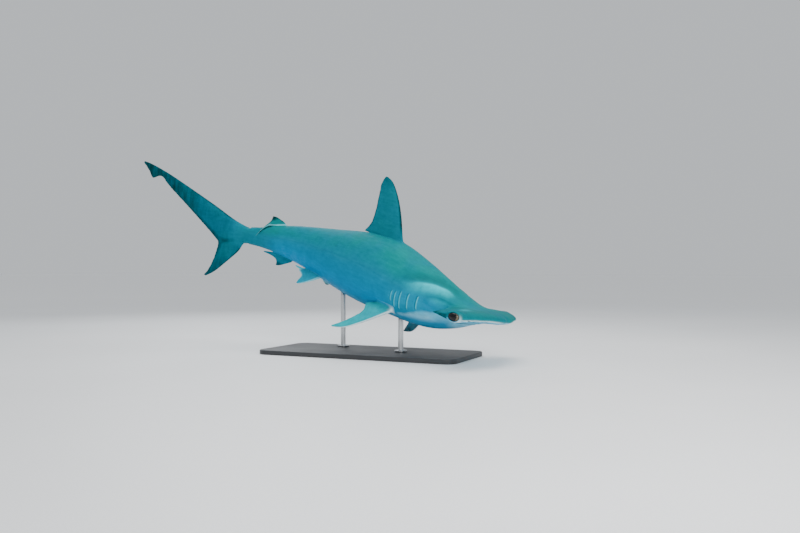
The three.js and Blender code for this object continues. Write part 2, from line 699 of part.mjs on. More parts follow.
function makeBase() {
  const outline = (inset, z) => {
    const list = [];
    const [halfLong, halfWide] = [BASE.long / 2 - inset, BASE.wide / 2 - inset];
    const radius = BASE.corner - inset;
    for (let corner = 0; corner < 4; corner += 1) {
      for (let i = 0; i <= 8; i += 1) {
        const about = (corner + i / 8) * 90 * DEGREE;
        const signX = corner === 0 || corner === 3 ? 1 : -1;
        const signY = corner < 2 ? 1 : -1;
        list.push([-BASE.behindHeld + signX * (halfLong - radius) + radius * Math.cos(about),
          BASE.left + signY * (halfWide - radius) + radius * Math.sin(about), z]);
      }
    }
    return list;
  };
  const shell = new Shell();
  const list = [outline(0, 0), outline(0, BASE.thick - BASE.chamfer), outline(BASE.chamfer, BASE.thick)];
  list.slice(1).forEach((ring, i) => shell.band(list[i], ring));
  shell.fan(list[0], [-BASE.behindHeld, BASE.left, 0], true);
  shell.fan(list.at(-1), [-BASE.behindHeld, BASE.left, BASE.thick], false);
  return shell.solid();
}

function makeRod(station) {
  const [x, y, z] = place([station, 0, 0]);
  const bottom = BASE.thick + 0.3;
  const rod = column(x, y, ROD.radius, bottom, z).add(column(x, y, ROD.foot, bottom, bottom + ROD.footHigh));
  const pieces = rod.subtract(BODY_AND_GAP).decompose();
  const lowest = (piece) => piece.boundingBox().min[2];
  return pieces.reduce((best, piece) => (lowest(piece) < lowest(best) ? piece : best));
}

// The assembled model
function meshOf(name, solid, colour) {
  const { vertProperties, triVerts } = solid.getMesh();
  const geometry = new THREE.BufferGeometry();
  geometry.setAttribute('position', new THREE.BufferAttribute(new Float32Array(vertProperties), 3));
  geometry.setIndex(Array.from(triVerts));
  geometry.computeVertexNormals();
  const mesh = new THREE.Mesh(geometry, new THREE.MeshStandardMaterial(COLOURS[colour]));
  mesh.name = name;
  return mesh;
}

const group = new THREE.Group();
group.name = 'hammerhead_shark';
const NODES = [
  ['head', makeHead(), 'skin'],
  ['trunk', trunkLength(HEAD_TO_TRUNK + GAP / 2, TRUNK_TO_STALK - GAP / 2), 'skin'],
  ['tail_stalk', trunkLength(TRUNK_TO_STALK + GAP / 2, STALK_TO_CAUDAL - GAP / 2), 'skin'],
  ['caudal_fin', makeCaudal(), 'fin'],
  ['first_dorsal_fin', makeFirstDorsal(), 'fin'],
  ['second_dorsal_fin', makeSecondDorsal(), 'fin'],
  ['anal_fin', makeAnal(), 'fin'],
  ['pectoral_fin_right', makePectoral(1), 'fin'],
  ['pectoral_fin_left', makePectoral(-1), 'fin'],
  ['pelvic_fin_right', makePelvic(1), 'fin'],
  ['pelvic_fin_left', makePelvic(-1), 'fin'],
  ['eye_right', eyeball(1), 'eye'],
  ['eye_left', eyeball(-1), 'eye'],
  ['stand_base', makeBase(), 'stand'],
  ['stand_rod_front', makeRod(ROD.stations[0]), 'stand'],
  ['stand_rod_rear', makeRod(ROD.stations[1]), 'stand'],
];
NODES.forEach(([name, solid, colour]) => group.add(meshOf(name, solid, colour)));

const box = new THREE.Box3().setFromObject(group);
const middle = box.getCenter(new THREE.Vector3());
group.children.forEach((mesh) => mesh.geometry.translate(-middle.x, -middle.y, -box.min.z));

export default group;
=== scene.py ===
import math
from functools import reduce

import bmesh
import bpy
import numpy as np
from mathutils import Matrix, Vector


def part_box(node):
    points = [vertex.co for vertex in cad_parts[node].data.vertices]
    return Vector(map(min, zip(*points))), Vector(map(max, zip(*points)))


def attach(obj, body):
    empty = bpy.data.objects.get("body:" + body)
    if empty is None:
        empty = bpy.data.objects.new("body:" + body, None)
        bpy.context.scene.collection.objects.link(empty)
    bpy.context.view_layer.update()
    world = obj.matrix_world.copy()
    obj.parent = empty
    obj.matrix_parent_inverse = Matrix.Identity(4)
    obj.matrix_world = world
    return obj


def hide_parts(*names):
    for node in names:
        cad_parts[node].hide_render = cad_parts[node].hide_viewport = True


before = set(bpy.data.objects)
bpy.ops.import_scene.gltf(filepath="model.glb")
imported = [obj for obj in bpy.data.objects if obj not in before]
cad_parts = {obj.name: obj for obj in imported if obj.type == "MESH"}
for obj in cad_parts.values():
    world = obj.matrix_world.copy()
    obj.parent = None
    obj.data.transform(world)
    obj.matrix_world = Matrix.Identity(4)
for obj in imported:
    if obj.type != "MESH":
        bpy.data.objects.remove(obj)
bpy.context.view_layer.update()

TOTAL_LENGTH = 2.5
PER_CENT = TOTAL_LENGTH / 100
HELD_STATION = 30
HELD_HEIGHT = 0.42
HEAD_END = 12
SPINE_STEP = 0.5
SPINE_END = 104
BANK = 3

# The display stand's base, from the point of the backbone that is held.
BASE_BEHIND = 0.12
BASE_LEFT = -0.02

# The cage has 36 columns round the body, a quarter of them from the side to the back.
SKIN_LEVEL = 3
COLUMNS = 36
QUARTER = COLUMNS // 4


def curve(knots, level_start=False):
    """A smooth curve through knots of (place, value). It takes numbers or arrays."""
    x, y = np.array(knots, float).T
    gap = np.diff(x)
    rise = np.diff(y) / gap
    slope = np.empty(len(x))
    slope[0] = 0 if level_start else rise[0]
    slope[-1] = rise[-1]
    slope[1:-1] = (rise[:-1] * gap[1:] + rise[1:] * gap[:-1]) / (gap[1:] + gap[:-1])

    def at(place):
        p = np.clip(place, x[0], x[-1])
        i = np.clip(np.searchsorted(x, p) - 1, 0, len(gap) - 1)
        h = gap[i]
        q = (p - x[i]) / h
        return ((1 + 2 * q) * (1 - q) ** 2 * y[i] + q * (1 - q) ** 2 * h * slope[i]
                + q * q * (3 - 2 * q) * y[i + 1] + q * q * (q - 1) * h * slope[i + 1])

    return at


def smooth(start, end, x):
    """0 at start and 1 at end, smoothly. Start may be the larger of the two."""
    q = np.clip((x - start) / (end - start), 0, 1)
    return q * q * (3 - 2 * q)


def plateau(x, low, rise, fall, high):
    """1 from rise to fall, and 0 below low and above high."""
    return smooth(low, rise, x) * smooth(high, fall, x)


def mix(a, b, q):
    return a + (b - a) * q


def hump(x, width):
    return np.exp(-((x / width) ** 2))


def most(*shares):
    return reduce(np.maximum, shares)


def cos_sin(degrees):
    return math.cos(math.radians(degrees)), math.sin(math.radians(degrees))


# Backbone: the turn to the right, the dip of the nose and the bank, and where they carry a point.
TURN = curve([(12, 6), (22, 19), (34, 17), (46, 11.5), (58, -1.5), (68, -16), (76, -22), (92, -28.5)], True)
NOSE_DOWN = curve([(12, 14.5), (22, 19.5), (36, 16), (52, 14.5), (70, 8), (92, 1.5)], True)


def lay_backbone():
    """Step by step, where the backbone lies from the held point, and what is ahead, right and up there."""
    station = np.arange(HEAD_END, SPINE_END + SPINE_STEP / 2, SPINE_STEP)
    turn, dip, bank = np.radians(TURN(station)), np.radians(NOSE_DOWN(station)), math.radians(BANK)
    ahead = np.stack([np.cos(dip) * np.cos(turn), -np.cos(dip) * np.sin(turn), -np.sin(dip)], 1)
    level = np.stack([-np.sin(turn), -np.cos(turn), 0 * turn], 1)
    upright = np.cross(level, ahead)
    right = math.cos(bank) * level + math.sin(bank) * upright
    up = math.cos(bank) * upright - math.sin(bank) * level
    step = (ahead[1:] + ahead[:-1]) / 2 * SPINE_STEP
    at = np.vstack([[0, 0, 0], -np.cumsum(step, 0)])
    return at - at[round((HELD_STATION - HEAD_END) / SPINE_STEP)], ahead, right, up


def box_of(node):
    """The lower and the upper corner of a solid's box, and its middle."""
    low, high = (np.array(corner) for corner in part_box(node))
    return low, high, (low + high) / 2


SPINE = lay_backbone()
BASE_X, BASE_Y, _ = box_of("stand_base")[2]
HELD = np.array([BASE_X + BASE_BEHIND, BASE_Y - BASE_LEFT, HELD_HEIGHT])


def place(points, bent_at=None):
    """Where points given by station, right and up lie, in metres."""
    p = np.atleast_2d(points)
    bent = np.maximum(p[:, 0] if bent_at is None else bent_at, HEAD_END)
    run = (bent - HEAD_END) / SPINE_STEP
    i = np.clip(np.floor(run).astype(int), 0, len(SPINE[0]) - 2)
    q = (run - i)[:, None]
    at, ahead, right, up = (mix(rows[i], rows[i + 1], q) for rows in SPINE)
    local = at + (bent - p[:, 0])[:, None] * ahead + p[:, 1:2] * right + p[:, 2:3] * up
    return HELD + PER_CENT * local


# Trunk: height above and below the backbone and half the width, by station.
TOP = curve([(0.35, 0), (1.2, 0.65), (3, 0.9), (6, 1.1), (8, 1.5), (10, 2.4), (15, 4.6), (20, 6), (25, 7.1),
             (29, 7.85), (35, 7.9), (40, 7.4), (48, 6), (55, 4.9), (62, 3.75), (68, 2.4), (72, 1.9)])
BOTTOM = curve([(0.35, 0), (1.2, 0.8), (3, 1.25), (6, 2.1), (10, 4.15), (15, 5.8), (20, 6.6), (25, 7.1),
                (30, 7.6), (36, 7.7), (42, 7.2), (48, 6.2), (55, 4.8), (62, 3.4), (68, 2.3), (72, 1.9)])
HALF_WIDTH = curve([(11, 5.2), (15, 5.9), (20, 6.35), (25, 6.6), (30, 6.8), (36, 6.6), (42, 6),
                    (48, 5.1), (55, 3.9), (62, 2.7), (68, 1.85), (72, 1.5)])
BACK_ROUNDNESS = 1.9
BELLY_ROUNDNESS = 2.25
STALK_TO_CAUDAL = 71.6

# The muscle of jaw and gills swells the side of the head, with a hollow above it towards the nape.
SWELL = {"from": 9, "to": 24, "height": 0.05, "width": 12}
HOLLOW_ABOVE = 22
RIDGE_ANGLE = curve([(9, 31), (10.2, 40), (12.3, 47), (14.1, 43), (17.4, 32), (21, 14), (24, 2)])


def side_angle(angle):
    """An angle round the trunk as it is on the right side, from -90 to 90."""
    return math.copysign(180 - abs(angle), angle) if abs(angle) > 90 else angle


def swelling(station, angle):
    run = (station - SWELL["from"]) / (SWELL["to"] - SWELL["from"])
    if run <= 0 or run >= 1:
        return 1
    off = angle - RIDGE_ANGLE(station)
    shape = hump(off, SWELL["width"]) - hump(off - HOLLOW_ABOVE, SWELL["width"])
    return 1 + SWELL["height"] * math.sin(math.pi * run) * shape


def trunk_point(station, angle, lift=0):
    """A point of the trunk's surface. The angle is 0 on the right side, 90 on the back, 180 on the left."""
    c, s = cos_sin(angle)
    power = 2 / (BACK_ROUNDNESS if s > 0 else BELLY_ROUNDNESS)
    height = TOP(station) if s > 0 else BOTTOM(station)
    swell = swelling(station, side_angle(angle))
    right = swell * HALF_WIDTH(station) * math.copysign(abs(c) ** power, c)
    up = swell * height * math.copysign(abs(s) ** power, s)
    far = math.hypot(right, up)
    return (station, right * (1 + lift / far), up * (1 + lift / far))


# Hammer: its front edge is arched, with a notch in the middle and two shallow ones on each side, each
# given by its place across, depth and width.
HAMMER_HALF = 12.5
ARCH = 3.8
ARCH_POWER = 2.2
SNOUT = 0.35
SNOUT_WIDE = 3
FRONT_NOTCHES = [(0, 0.35, 1), (5.4, 0.25, 1.1), (10.4, 0.3, 0.55)]
NECK_HALF = 5.2
NECK_STATION = 11
NECK_FILLET = 1.1
NECK_FROM_CHORD = 0.3
REAR_OF_WING = 10.1
REAR_SWEEP = 0.9
REAR_SWEEP_FROM = 8.5
WING_ROOT_THICK = 1
WING_TIP_THICK = 0.85
WING_DROOP = 0.65
WING_TWIST = 0.9
TIP_ROUNDING = 1
MARGIN_INSET = {"front": 0.6, "rear": 0.7}
WING_COLUMNS = [0, 0.12, 0.45, 1, 1.9, 3.1, 4.9, HAMMER_HALF - NECK_HALF]
WING_STEPS = len(WING_COLUMNS) - 1
CHORD_RINGS = [0, 0.02, 0.07, 0.15, 0.24, 0.34, 0.44, 0.54, 0.6, 0.66, 0.72, 0.78, 0.84, 0.92, 1]
EYE = {"behind_front": 1.75, "inset": 0.5, "long": 1.25, "high": 0.85, "deep": 0.85}
EYE_AT_CHORD = 0.33
EYE_BULGE = {"thick": 0.42, "wide": 1.6, "at_chord": 0.3, "chord": 0.25}
AEROFOIL = {"forward": 0.6, "full": 0.8}


def front_edge(right):
    across = abs(right)
    notches = sum(deep * hump(across - at, wide) for at, deep, wide in FRONT_NOTCHES)
    blunt = FRONT_NOTCHES[0][1] * hump(across, SNOUT_WIDE)
    return SNOUT + ARCH * (across / HAMMER_HALF) ** ARCH_POWER + notches - blunt


def rear_edge(right):
    swept = REAR_SWEEP * smooth(REAR_SWEEP_FROM, HAMMER_HALF, abs(right))
    fillet = (NECK_STATION - REAR_OF_WING) * np.exp(-(abs(right) - NECK_HALF) / NECK_FILLET)
    return REAR_OF_WING + swept + fillet


def margin_inset(chord):
    """How far in the outer margin of the wing lies at a part of its chord."""
    if chord < EYE_AT_CHORD:
        return MARGIN_INSET["front"] * ((EYE_AT_CHORD - chord) / EYE_AT_CHORD) ** 2
    return MARGIN_INSET["rear"] * ((chord - EYE_AT_CHORD) / (1 - EYE_AT_CHORD)) ** 2


def droop(right, chord=EYE_AT_CHORD):
    """The wings hang a little towards their ends, and more so behind the eyes."""
    beyond_neck = np.maximum(np.abs(right) - NECK_HALF, 0) / (HAMMER_HALF - NECK_HALF)
    behind_eye = np.maximum(chord - EYE_AT_CHORD, 0) / (1 - EYE_AT_CHORD)
    return WING_DROOP * beyond_neck ** 2 * (1 + WING_TWIST * behind_eye)


EYE_STATION = float(front_edge(HAMMER_HALF)) + EYE["behind_front"]
EYE_RIGHT = HAMMER_HALF - EYE["inset"]
EYE_UP = -float(droop(EYE_RIGHT))


def aerofoil(chord):
    """The share of its full thickness that a wing or a fin has at a part of its chord."""
    return abs(math.sin(math.pi * chord ** AEROFOIL["forward"])) ** AEROFOIL["full"]


def wing_thickness(right, chord, margin):
    """Half the thickness of the wing, rounded at the margin and fuller round the eye."""
    from_margin = min(max((margin - abs(right)) / TIP_ROUNDING, 0), 1)
    rounded = math.sqrt(1 - (1 - from_margin) ** 2)
    thick = mix(WING_ROOT_THICK, WING_TIP_THICK, smooth(NECK_HALF, HAMMER_HALF, abs(right)))
    bulge = hump(HAMMER_HALF - abs(right), EYE_BULGE["wide"])
    bulge *= EYE_BULGE["thick"] * hump(chord - EYE_BULGE["at_chord"], EYE_BULGE["chord"])
    return (thick + bulge) * aerofoil(chord) * rounded


def hammer_point(column, chord, face, side):
    """A point of the hammer's upper (face 1) or lower (face -1) surface. Column 0 is the outer margin."""
    if column > WING_STEPS:
        return neck_point((column - WING_STEPS) / QUARTER, chord, face, side)
    margin = HAMMER_HALF - margin_inset(chord)
    right = mix(margin, NECK_HALF, WING_COLUMNS[column] / (HAMMER_HALF - NECK_HALF))
    station = mix(front_edge(right), rear_edge(right), chord)
    return (station, side * right, face * wing_thickness(right, chord, margin) - droop(right, chord))


def neck_point(part, chord, face, side):
    """Part runs from 0 at the side of the neck to 1 on the middle line."""
    height = TOP if face > 0 else BOTTOM
    power = 2 / (BACK_ROUNDNESS if face > 0 else BELLY_ROUNDNESS)
    neck = smooth(NECK_FROM_CHORD, 1, chord)
    c, s = cos_sin(90 * part)
    right = NECK_HALF * mix(1 - part, max(c, 0) ** power, neck)
    front = front_edge(right)
    station = mix(front, NECK_STATION, chord)
    wing = wing_thickness(right, chord, HAMMER_HALF)
    dome = mix((1 - math.cos(math.pi * part)) / 2, s ** power, neck)
    middle = height(SNOUT + (station - front) * (NECK_STATION - SNOUT) / (NECK_STATION - front))
    swell = mix(1, swelling(NECK_STATION, face * part * 90), neck)
    half = middle * dome if chord == 1 else mix(wing, max(middle, wing), dome)
    return (station, side * right * swell, face * half * swell)


class Cage:
    """The large faces that the skin is subdivided from, with what each corner knows of its place."""

    def __init__(self):
        self.points, self.bent, self.span, self.chord, self.kind, self.faces = [], [], [], [], [], []

    def add(self, point, bent=None, span=0, chord=0, kind=(0, 0, 0)):
        self.points.append([float(v) for v in point])
        self.bent.append(float(point[0] if bent is None else bent))
        self.span.append(span)
        self.chord.append(chord)
        self.kind.append(kind)
        return len(self.points) - 1

    def face(self, *corners):
        distinct = list(dict.fromkeys(corners))
        if len(distinct) > 2:
            self.faces.append(distinct)

    def strip(self, one, two):
        for i in range(len(one) - 1):
            self.face(one[i], one[i + 1], two[i + 1], two[i])

    def band(self, one, two):
        self.strip(one + one[:1], two + two[:1])


CAGE = Cage()

# Fins. Each is a vane between a leading and a trailing edge, given by knots of part of the span,
# along and out. It grows out of a hole in the cage of the body that spans its root.
FIN_EDGE = 0.03
FIN_NOSE = 0.03
FIN_TAIL = 0.965
FORWARD_CROWDING = 1.15
ROOT_SPAN = 0.3
MIDLINE, PAIRED, CAUDAL = (1, 0, 0), (0, 1, 0), (0, 0, 1)


def upright(along, out, off):
    return (along, off, out)


def paired(side, root, slope):
    """A paired fin leans down from the level by its slope, out from a root on the side of the body."""
    c, s = cos_sin(slope)
    return lambda along, out, off: (along, side * (root[0] + out * c + off * s), root[1] - out * s + off * c)


# The long free rear tip of the second dorsal fin drapes over the right side of the stalk.
DRAPE = {"from": 65.6, "to": 68.9, "angle": 98, "ease": 1.25}


def draped(along, out, off):
    past = max(along - DRAPE["from"], 0) / (DRAPE["to"] - DRAPE["from"])
    angle = 90 - DRAPE["angle"] * past ** DRAPE["ease"]
    c, s = cos_sin(angle)
    station, right, up = trunk_point(along, angle, out - TOP(along))
    return (station, right + off * s, up - off * c)


FIRST_DORSAL = {
    "hole": (28.6, 38.8), "angle": 90, "frame": upright, "kind": MIDLINE,
    "rows": [0.1, 0.13, 0.17, 0.22, 0.3, 0.4, 0.52, 0.64, 0.76, 0.86, 0.93, 0.97, 1],
    "lead": [(0, 28.4, 6.9), (0.1, 29.2, 8), (0.5, 32, 13.9), (0.8, 34.5, 17.8), (0.93, 36.3, 19.7),
             (1, 37.9, 20.3)],
    "trail": [(0, 38.4, 6.6), (0.08, 38.7, 7.5), (0.13, 41.1, 7.5), (0.17, 40.7, 7.85),
              (0.25, 39.7, 9.1), (0.45, 39.1, 12.2), (0.7, 39.15, 16), (0.9, 39.15, 18.9), (1, 38.4, 20.3)],
    "thick": [(0, 0.8), (0.3, 0.55), (0.8, 0.25), (1, 0.05)]}
SECOND_DORSAL = {
    "hole": (61.9, 65.6), "angle": 90, "frame": draped, "kind": MIDLINE,
    "rows": [0.15, 0.2, 0.28, 0.36, 0.5, 0.65, 0.8, 0.92, 1],
    "lead": [(0, 61.6, 2.8), (0.2, 62.4, 4), (0.6, 64, 4.9), (0.85, 65, 5.35), (1, 65.6, 5.4)],
    "trail": [(0, 65.6, 2.2), (0.12, 65.8, 3.1), (0.2, 68.7, 2.6), (0.28, 68.9, 2.75), (0.36, 67.6, 3.2),
              (0.5, 66.4, 3.8), (0.7, 66, 4.45), (0.9, 65.9, 5.1), (1, 65.9, 5.35)],
    "thick": [(0, 0.34), (0.12, 0.24), (0.2, 0.12), (0.36, 0.14), (1, 0.04)]}
ANAL = {
    "hole": (58.3, 64.2), "angle": -90, "frame": upright, "kind": MIDLINE,
    "rows": [0.14, 0.2, 0.28, 0.36, 0.5, 0.65, 0.8, 0.92, 1],
    "lead": [(0, 58, -3.1), (0.2, 58.8, -4.2), (0.6, 60.5, -5.1), (0.85, 61.8, -5.7), (1, 62.7, -5.9)],
    "trail": [(0, 64.1, -1.9), (0.12, 64.4, -3), (0.2, 67.2, -3), (0.28, 66.8, -3.35), (0.36, 65.3, -3.6),
              (0.6, 63.4, -4.4), (0.85, 63, -5.4), (1, 63.1, -5.85)],
    "thick": [(0, 0.36), (0.3, 0.24), (1, 0.04)]}


def pectoral(side):
    slope = 47 if side > 0 else 60
    return {
        "hole": (21.8, 26.6), "angle": -40 if side > 0 else -140, "frame": paired(side, (5.4, -4.6), slope),
        "kind": PAIRED, "bent": 24,
        "rows": [0.17, 0.2, 0.23, 0.28, 0.34, 0.42, 0.52, 0.62, 0.72, 0.81, 0.89, 0.95, 0.98, 1],
        "lead": [(0, 21.2, -1.2), (0.14, 21.7, 0), (0.45, 24.1, 3.5), (0.7, 26.2, 6.4), (0.88, 28.6, 8.9),
                 (1, 31, 9.9)],
        "trail": [(0, 26.3, -1.2), (0.14, 26.5, 0), (0.18, 27.6, 0.5), (0.26, 29.2, 1.4), (0.34, 28.4, 2.3),
                  (0.45, 28, 3.4), (0.7, 29.1, 6.3), (0.88, 30.5, 8.6), (1, 31.4, 9.75)],
        "thick": [(0, 0.7), (0.3, 0.5), (0.8, 0.22), (1, 0.04)]}


def pelvic(side):
    return {
        "hole": (48.2, 53), "angle": -60 if side > 0 else -120, "frame": paired(side, (2.4, -5.4), 40),
        "kind": PAIRED, "bent": 50,
        "rows": [0.24, 0.3, 0.38, 0.48, 0.6, 0.72, 0.85, 0.94, 1],
        "lead": [(0, 47.6, -1.2), (0.25, 48, 0.3), (0.6, 49.6, 2.3), (0.85, 51, 3.6), (1, 51.9, 4.1)],
        "trail": [(0, 52.8, -1.4), (0.2, 53, -0.9), (0.3, 55.2, -0.3), (0.38, 54.8, 0.3), (0.5, 53.3, 1),
                  (0.8, 52.7, 3), (1, 52.4, 4)],
        "thick": [(0, 0.4), (0.3, 0.3), (0.8, 0.14), (1, 0.04)]}


DORSAL_LOBE = {
    "rows": [0.025, 0.05, 0.075, 0.1, 0.125, 0.15, 0.175, 0.2, 0.225, 0.25, 0.3, 0.36, 0.43, 0.5, 0.58,
             0.66, 0.74, 0.8, 0.84, 0.865, 0.885, 0.9, 0.915, 0.94, 0.97, 1],
    "lead": [(0, STALK_TO_CAUDAL, 1.95), (0.1, 74.2, 3), (0.3, 79.6, 6.2), (0.6, 87, 10.8), (0.8, 91.8, 13.9),
             (0.95, 95.6, 15.8), (1, 96.6, 16.1)],
    "trail": [(0, STALK_TO_CAUDAL, -1.94), (0.1, 74.2, -2.1), (0.22, 78.2, -2.1), (0.3, 79.8, -0.6),
              (0.6, 86.2, 5.7), (0.8, 91, 10.7), (0.87, 92.9, 12.8), (0.9, 94.5, 12), (0.93, 95, 13.2),
              (1, 96.7, 15.8)],
    "thick": [(0, 1.4), (0.15, 0.85), (0.4, 0.5), (0.8, 0.25), (1, 0.04)],
    "stalk": 0.3, "edge_round": 0.3}
VENTRAL_LOBE = {
    "rows_of_hole": (1, 9), "half_columns": 3, "frame": upright, "kind": CAUDAL,
    "rows": [0.2, 0.28, 0.4, 0.55, 0.7, 0.82, 0.91, 0.97, 1],
    "lead": [(0, 71.7, -0.6), (0.12, 72.1, -2.4), (0.5, 75.9, -7), (0.85, 79, -9.8), (1, 80.5, -10.6)],
    "trail": [(0, 77.6, -0.4), (0.12, 78, -1.9), (0.3, 78.4, -4), (0.6, 79.2, -7.2), (0.85, 80.2, -9.4),
              (1, 81, -10.4)],
    "thick": [(0, 0.75), (0.3, 0.45), (0.8, 0.2), (1, 0.04)]}


def edge(knots):
    along = curve([(q, x) for q, x, _ in knots])
    out = curve([(q, y) for q, _, y in knots])
    return lambda q: (float(along(q)), float(out(q)))


def grow_fin(fin, hole):
    """Grows a fin out of a hole. Each ring is its front, one side, its rear and the other side."""
    lead, trail, half = edge(fin["lead"]), edge(fin["trail"]), curve(fin["thick"])
    reach = len(hole[0]) // 2 + 1
    across = [m / reach for m in range(1 - reach, reach)]
    steps = len(hole[1]) - 1
    sides = [mix(FIN_NOSE, FIN_TAIL, (i / steps) ** FORWARD_CROWDING) for i in range(steps + 1)]
    for q in fin["rows"]:
        a, b = lead(q), trail(q)

        def section(chord, share):
            off = (FIN_EDGE + float(half(q)) * aerofoil(chord)) * share
            point = fin["frame"](mix(a[0], b[0], chord), mix(a[1], b[1], chord), off)
            return CAGE.add(point, fin.get("bent"), q, chord, fin["kind"])

        ring = [[section(FIN_NOSE * m ** 2, m) for m in across], [section(c, 1) for c in sides],
                [section(1 - FIN_NOSE * m ** 2, -m) for m in across],
                [section(c, -1) for c in reversed(sides)]]
        CAGE.band(sum(hole, []), sum(ring, []))
        hole = ring
    front, one, rear, two = hole
    CAGE.strip(one, two[::-1])
    CAGE.face(two[-1], *front, one[0])
    CAGE.face(one[-1], *rear, two[0])


def turned(fin, hole):
    """The hole, with the side that the fin's first face starts from put first."""
    front, one, rear, two = hole
    along, out = edge(fin["lead"])(ROOT_SPAN)
    outward = np.subtract(fin["frame"](along + 1, out, 1), fin["frame"](along + 1, out, 0))
    middle = len(one) // 2
    across = np.subtract(CAGE.points[one[middle]], CAGE.points[two[middle]])
    return hole if across @ outward > 0 else [part[::-1] for part in (front, two, rear, one)]


# The columns of the cage are moved a little where the pelvic fins grow.
PELVIC_SHIFT = {"by": 5, "angle": -60, "round": 22, "station": 50.6, "along": 5}


def column_angle(column, station):
    angle = column * 360 / COLUMNS
    angle = angle - 360 if angle > 180 else angle
    near = hump(side_angle(angle) - PELVIC_SHIFT["angle"], PELVIC_SHIFT["round"])
    near = float(near * hump(station - PELVIC_SHIFT["station"], PELVIC_SHIFT["along"]))
    return angle + PELVIC_SHIFT["by"] * near * (-1 if abs(angle) <= 90 else 1)


# Where each region of rings starts, and how far apart its rings are.
RING_REGIONS = [(NECK_STATION, 0.8), (15.6, 0.5), (21.8, 0.5), (23.8, 0.95), (26.6, 1), (28.6, 1.05),
                (38.8, 1.15), (48.2, 0.8), (53, 0.9), (58.3, 0.62), (61.9, 0.62), (64.2, 0.62), (65.6, 0.8),
                (68.5, 1), (STALK_TO_CAUDAL, 1)]


def ring_stations():
    stations = []
    for (start, spacing), (end, _) in zip(RING_REGIONS, RING_REGIONS[1:]):
        steps = math.ceil(round((end - start) / spacing, 6))
        stations += [mix(start, end, i / steps) for i in range(steps)]
    return stations + [STALK_TO_CAUDAL]


def hole_in(grid, rows, column, half_columns=1):
    """The corners round a hole, as a fin's ring has them, and the cells that the hole leaves out."""
    first, last = rows
    around = [(column + d) % COLUMNS for d in range(-half_columns, half_columns + 1)]
    front = [grid[first][c] for c in around[1:-1]]
    one = [grid[r][around[-1]] for r in range(first, last + 1)]
    rear = [grid[last][c] for c in around[-2:0:-1]]
    two = [grid[r][around[0]] for r in range(last, first - 1, -1)]
    return [front, one, rear, two], {(r, c) for r in range(first, last) for c in around[:-1]}


def caudal_row(q):
    """A row of corners round the dorsal lobe of the caudal fin, as round as the stalk where it starts."""
    a, b = edge(DORSAL_LOBE["lead"])(q), edge(DORSAL_LOBE["trail"])(q)
    half = float(curve(DORSAL_LOBE["thick"])(q))
    as_stalk = 1 - float(smooth(0, DORSAL_LOBE["stalk"], q))
    row = []
    for column in range(COLUMNS):
        c, s = cos_sin(column * 360 / COLUMNS)
        wide, chord = abs(c), (1 - s) / 2
        off = FIN_EDGE * wide ** DORSAL_LOBE["edge_round"] + half * mix(aerofoil(chord), wide, as_stalk)
        off *= (column < QUARTER or column > 3 * QUARTER) - (QUARTER < column < 3 * QUARTER)
        point = upright(mix(a[0], b[0], chord), mix(a[1], b[1], chord), off)
        row.append(CAGE.add(point, None, q, chord, CAUDAL))
    return row


def build_body():
    """Trunk, stalk and all fins. It returns the first ring, at the neck."""
    stations = ring_stations()
    grid = [[CAGE.add(trunk_point(s, column_angle(c, s))) for c in range(COLUMNS)] for s in stations]
    ventral_rows = [len(grid) - 1 + r for r in VENTRAL_LOBE["rows_of_hole"]]
    grid += [caudal_row(q) for q in DORSAL_LOBE["rows"]]
    fins, left_out = [], set()

    def row_of(station):
        return min(range(len(stations)), key=lambda i: abs(stations[i] - station))

    def column_at(angle):
        return round(angle / 360 * COLUMNS) % COLUMNS

    for fin in [FIRST_DORSAL, SECOND_DORSAL, ANAL, pectoral(1), pectoral(-1), pelvic(1), pelvic(-1)]:
        fins.append((fin, hole_in(grid, [row_of(s) for s in fin["hole"]], column_at(fin["angle"]))))
    fins.append((VENTRAL_LOBE, hole_in(grid, ventral_rows, column_at(-90), VENTRAL_LOBE["half_columns"])))
    for _, (_, cells) in fins:
        left_out |= cells
    for side in (1, -1):
        row, column = row_of(CLASPER["station"]), column_at(-90 + side * CLASPER["angle"])
        left_out.add((row, column))
        here, behind = grid[row], grid[row + 1]
        grow_clasper([here[column], here[column + 1], behind[column + 1], behind[column]], side)
    for r in range(len(grid) - 1):
        for c in range(COLUMNS):
            if (r, c) not in left_out:
                d = (c + 1) % COLUMNS
                CAGE.face(grid[r][c], grid[r][d], grid[r + 1][d], grid[r + 1][c])
    tip, down = grid[-1], range(2 * QUARTER + 1)
    CAGE.strip([tip[QUARTER - i] for i in down], [tip[QUARTER + i] for i in down])
    for fin, (hole, _) in fins:
        grow_fin(fin, turned(fin, hole))
    return grid[0]


# A young male's claspers: short rods at the inner edges of the pelvic fins.
CLASPER = {"station": 52, "angle": 15, "half": [0.32, 0.24, 0.23, 0.18, 0.05],
           "path": [(53.4, 1.5, -5.05), (54.4, 1.55, -5.15), (55.6, 1.5, -5.15), (56.7, 1.4, -5),
                    (57, 1.37, -4.95)]}


def grow_clasper(ring, side):
    corners = np.array([CAGE.points[i] for i in ring])
    middle = corners.mean(0)
    before = ring
    for (station, right, up), half in zip(CLASPER["path"], CLASPER["half"]):
        now = []
        for corner in corners:
            outward = half if (corner[1] - middle[1]) * side > 0 else -half
            upward = -half if corner[0] < middle[0] else half
            point = (station, side * (right + outward), up + upward)
            now.append(CAGE.add(point, pelvic(side)["bent"], 0.5, 0.5, PAIRED))
        CAGE.band(before, now)
        before = now
    CAGE.face(*before)


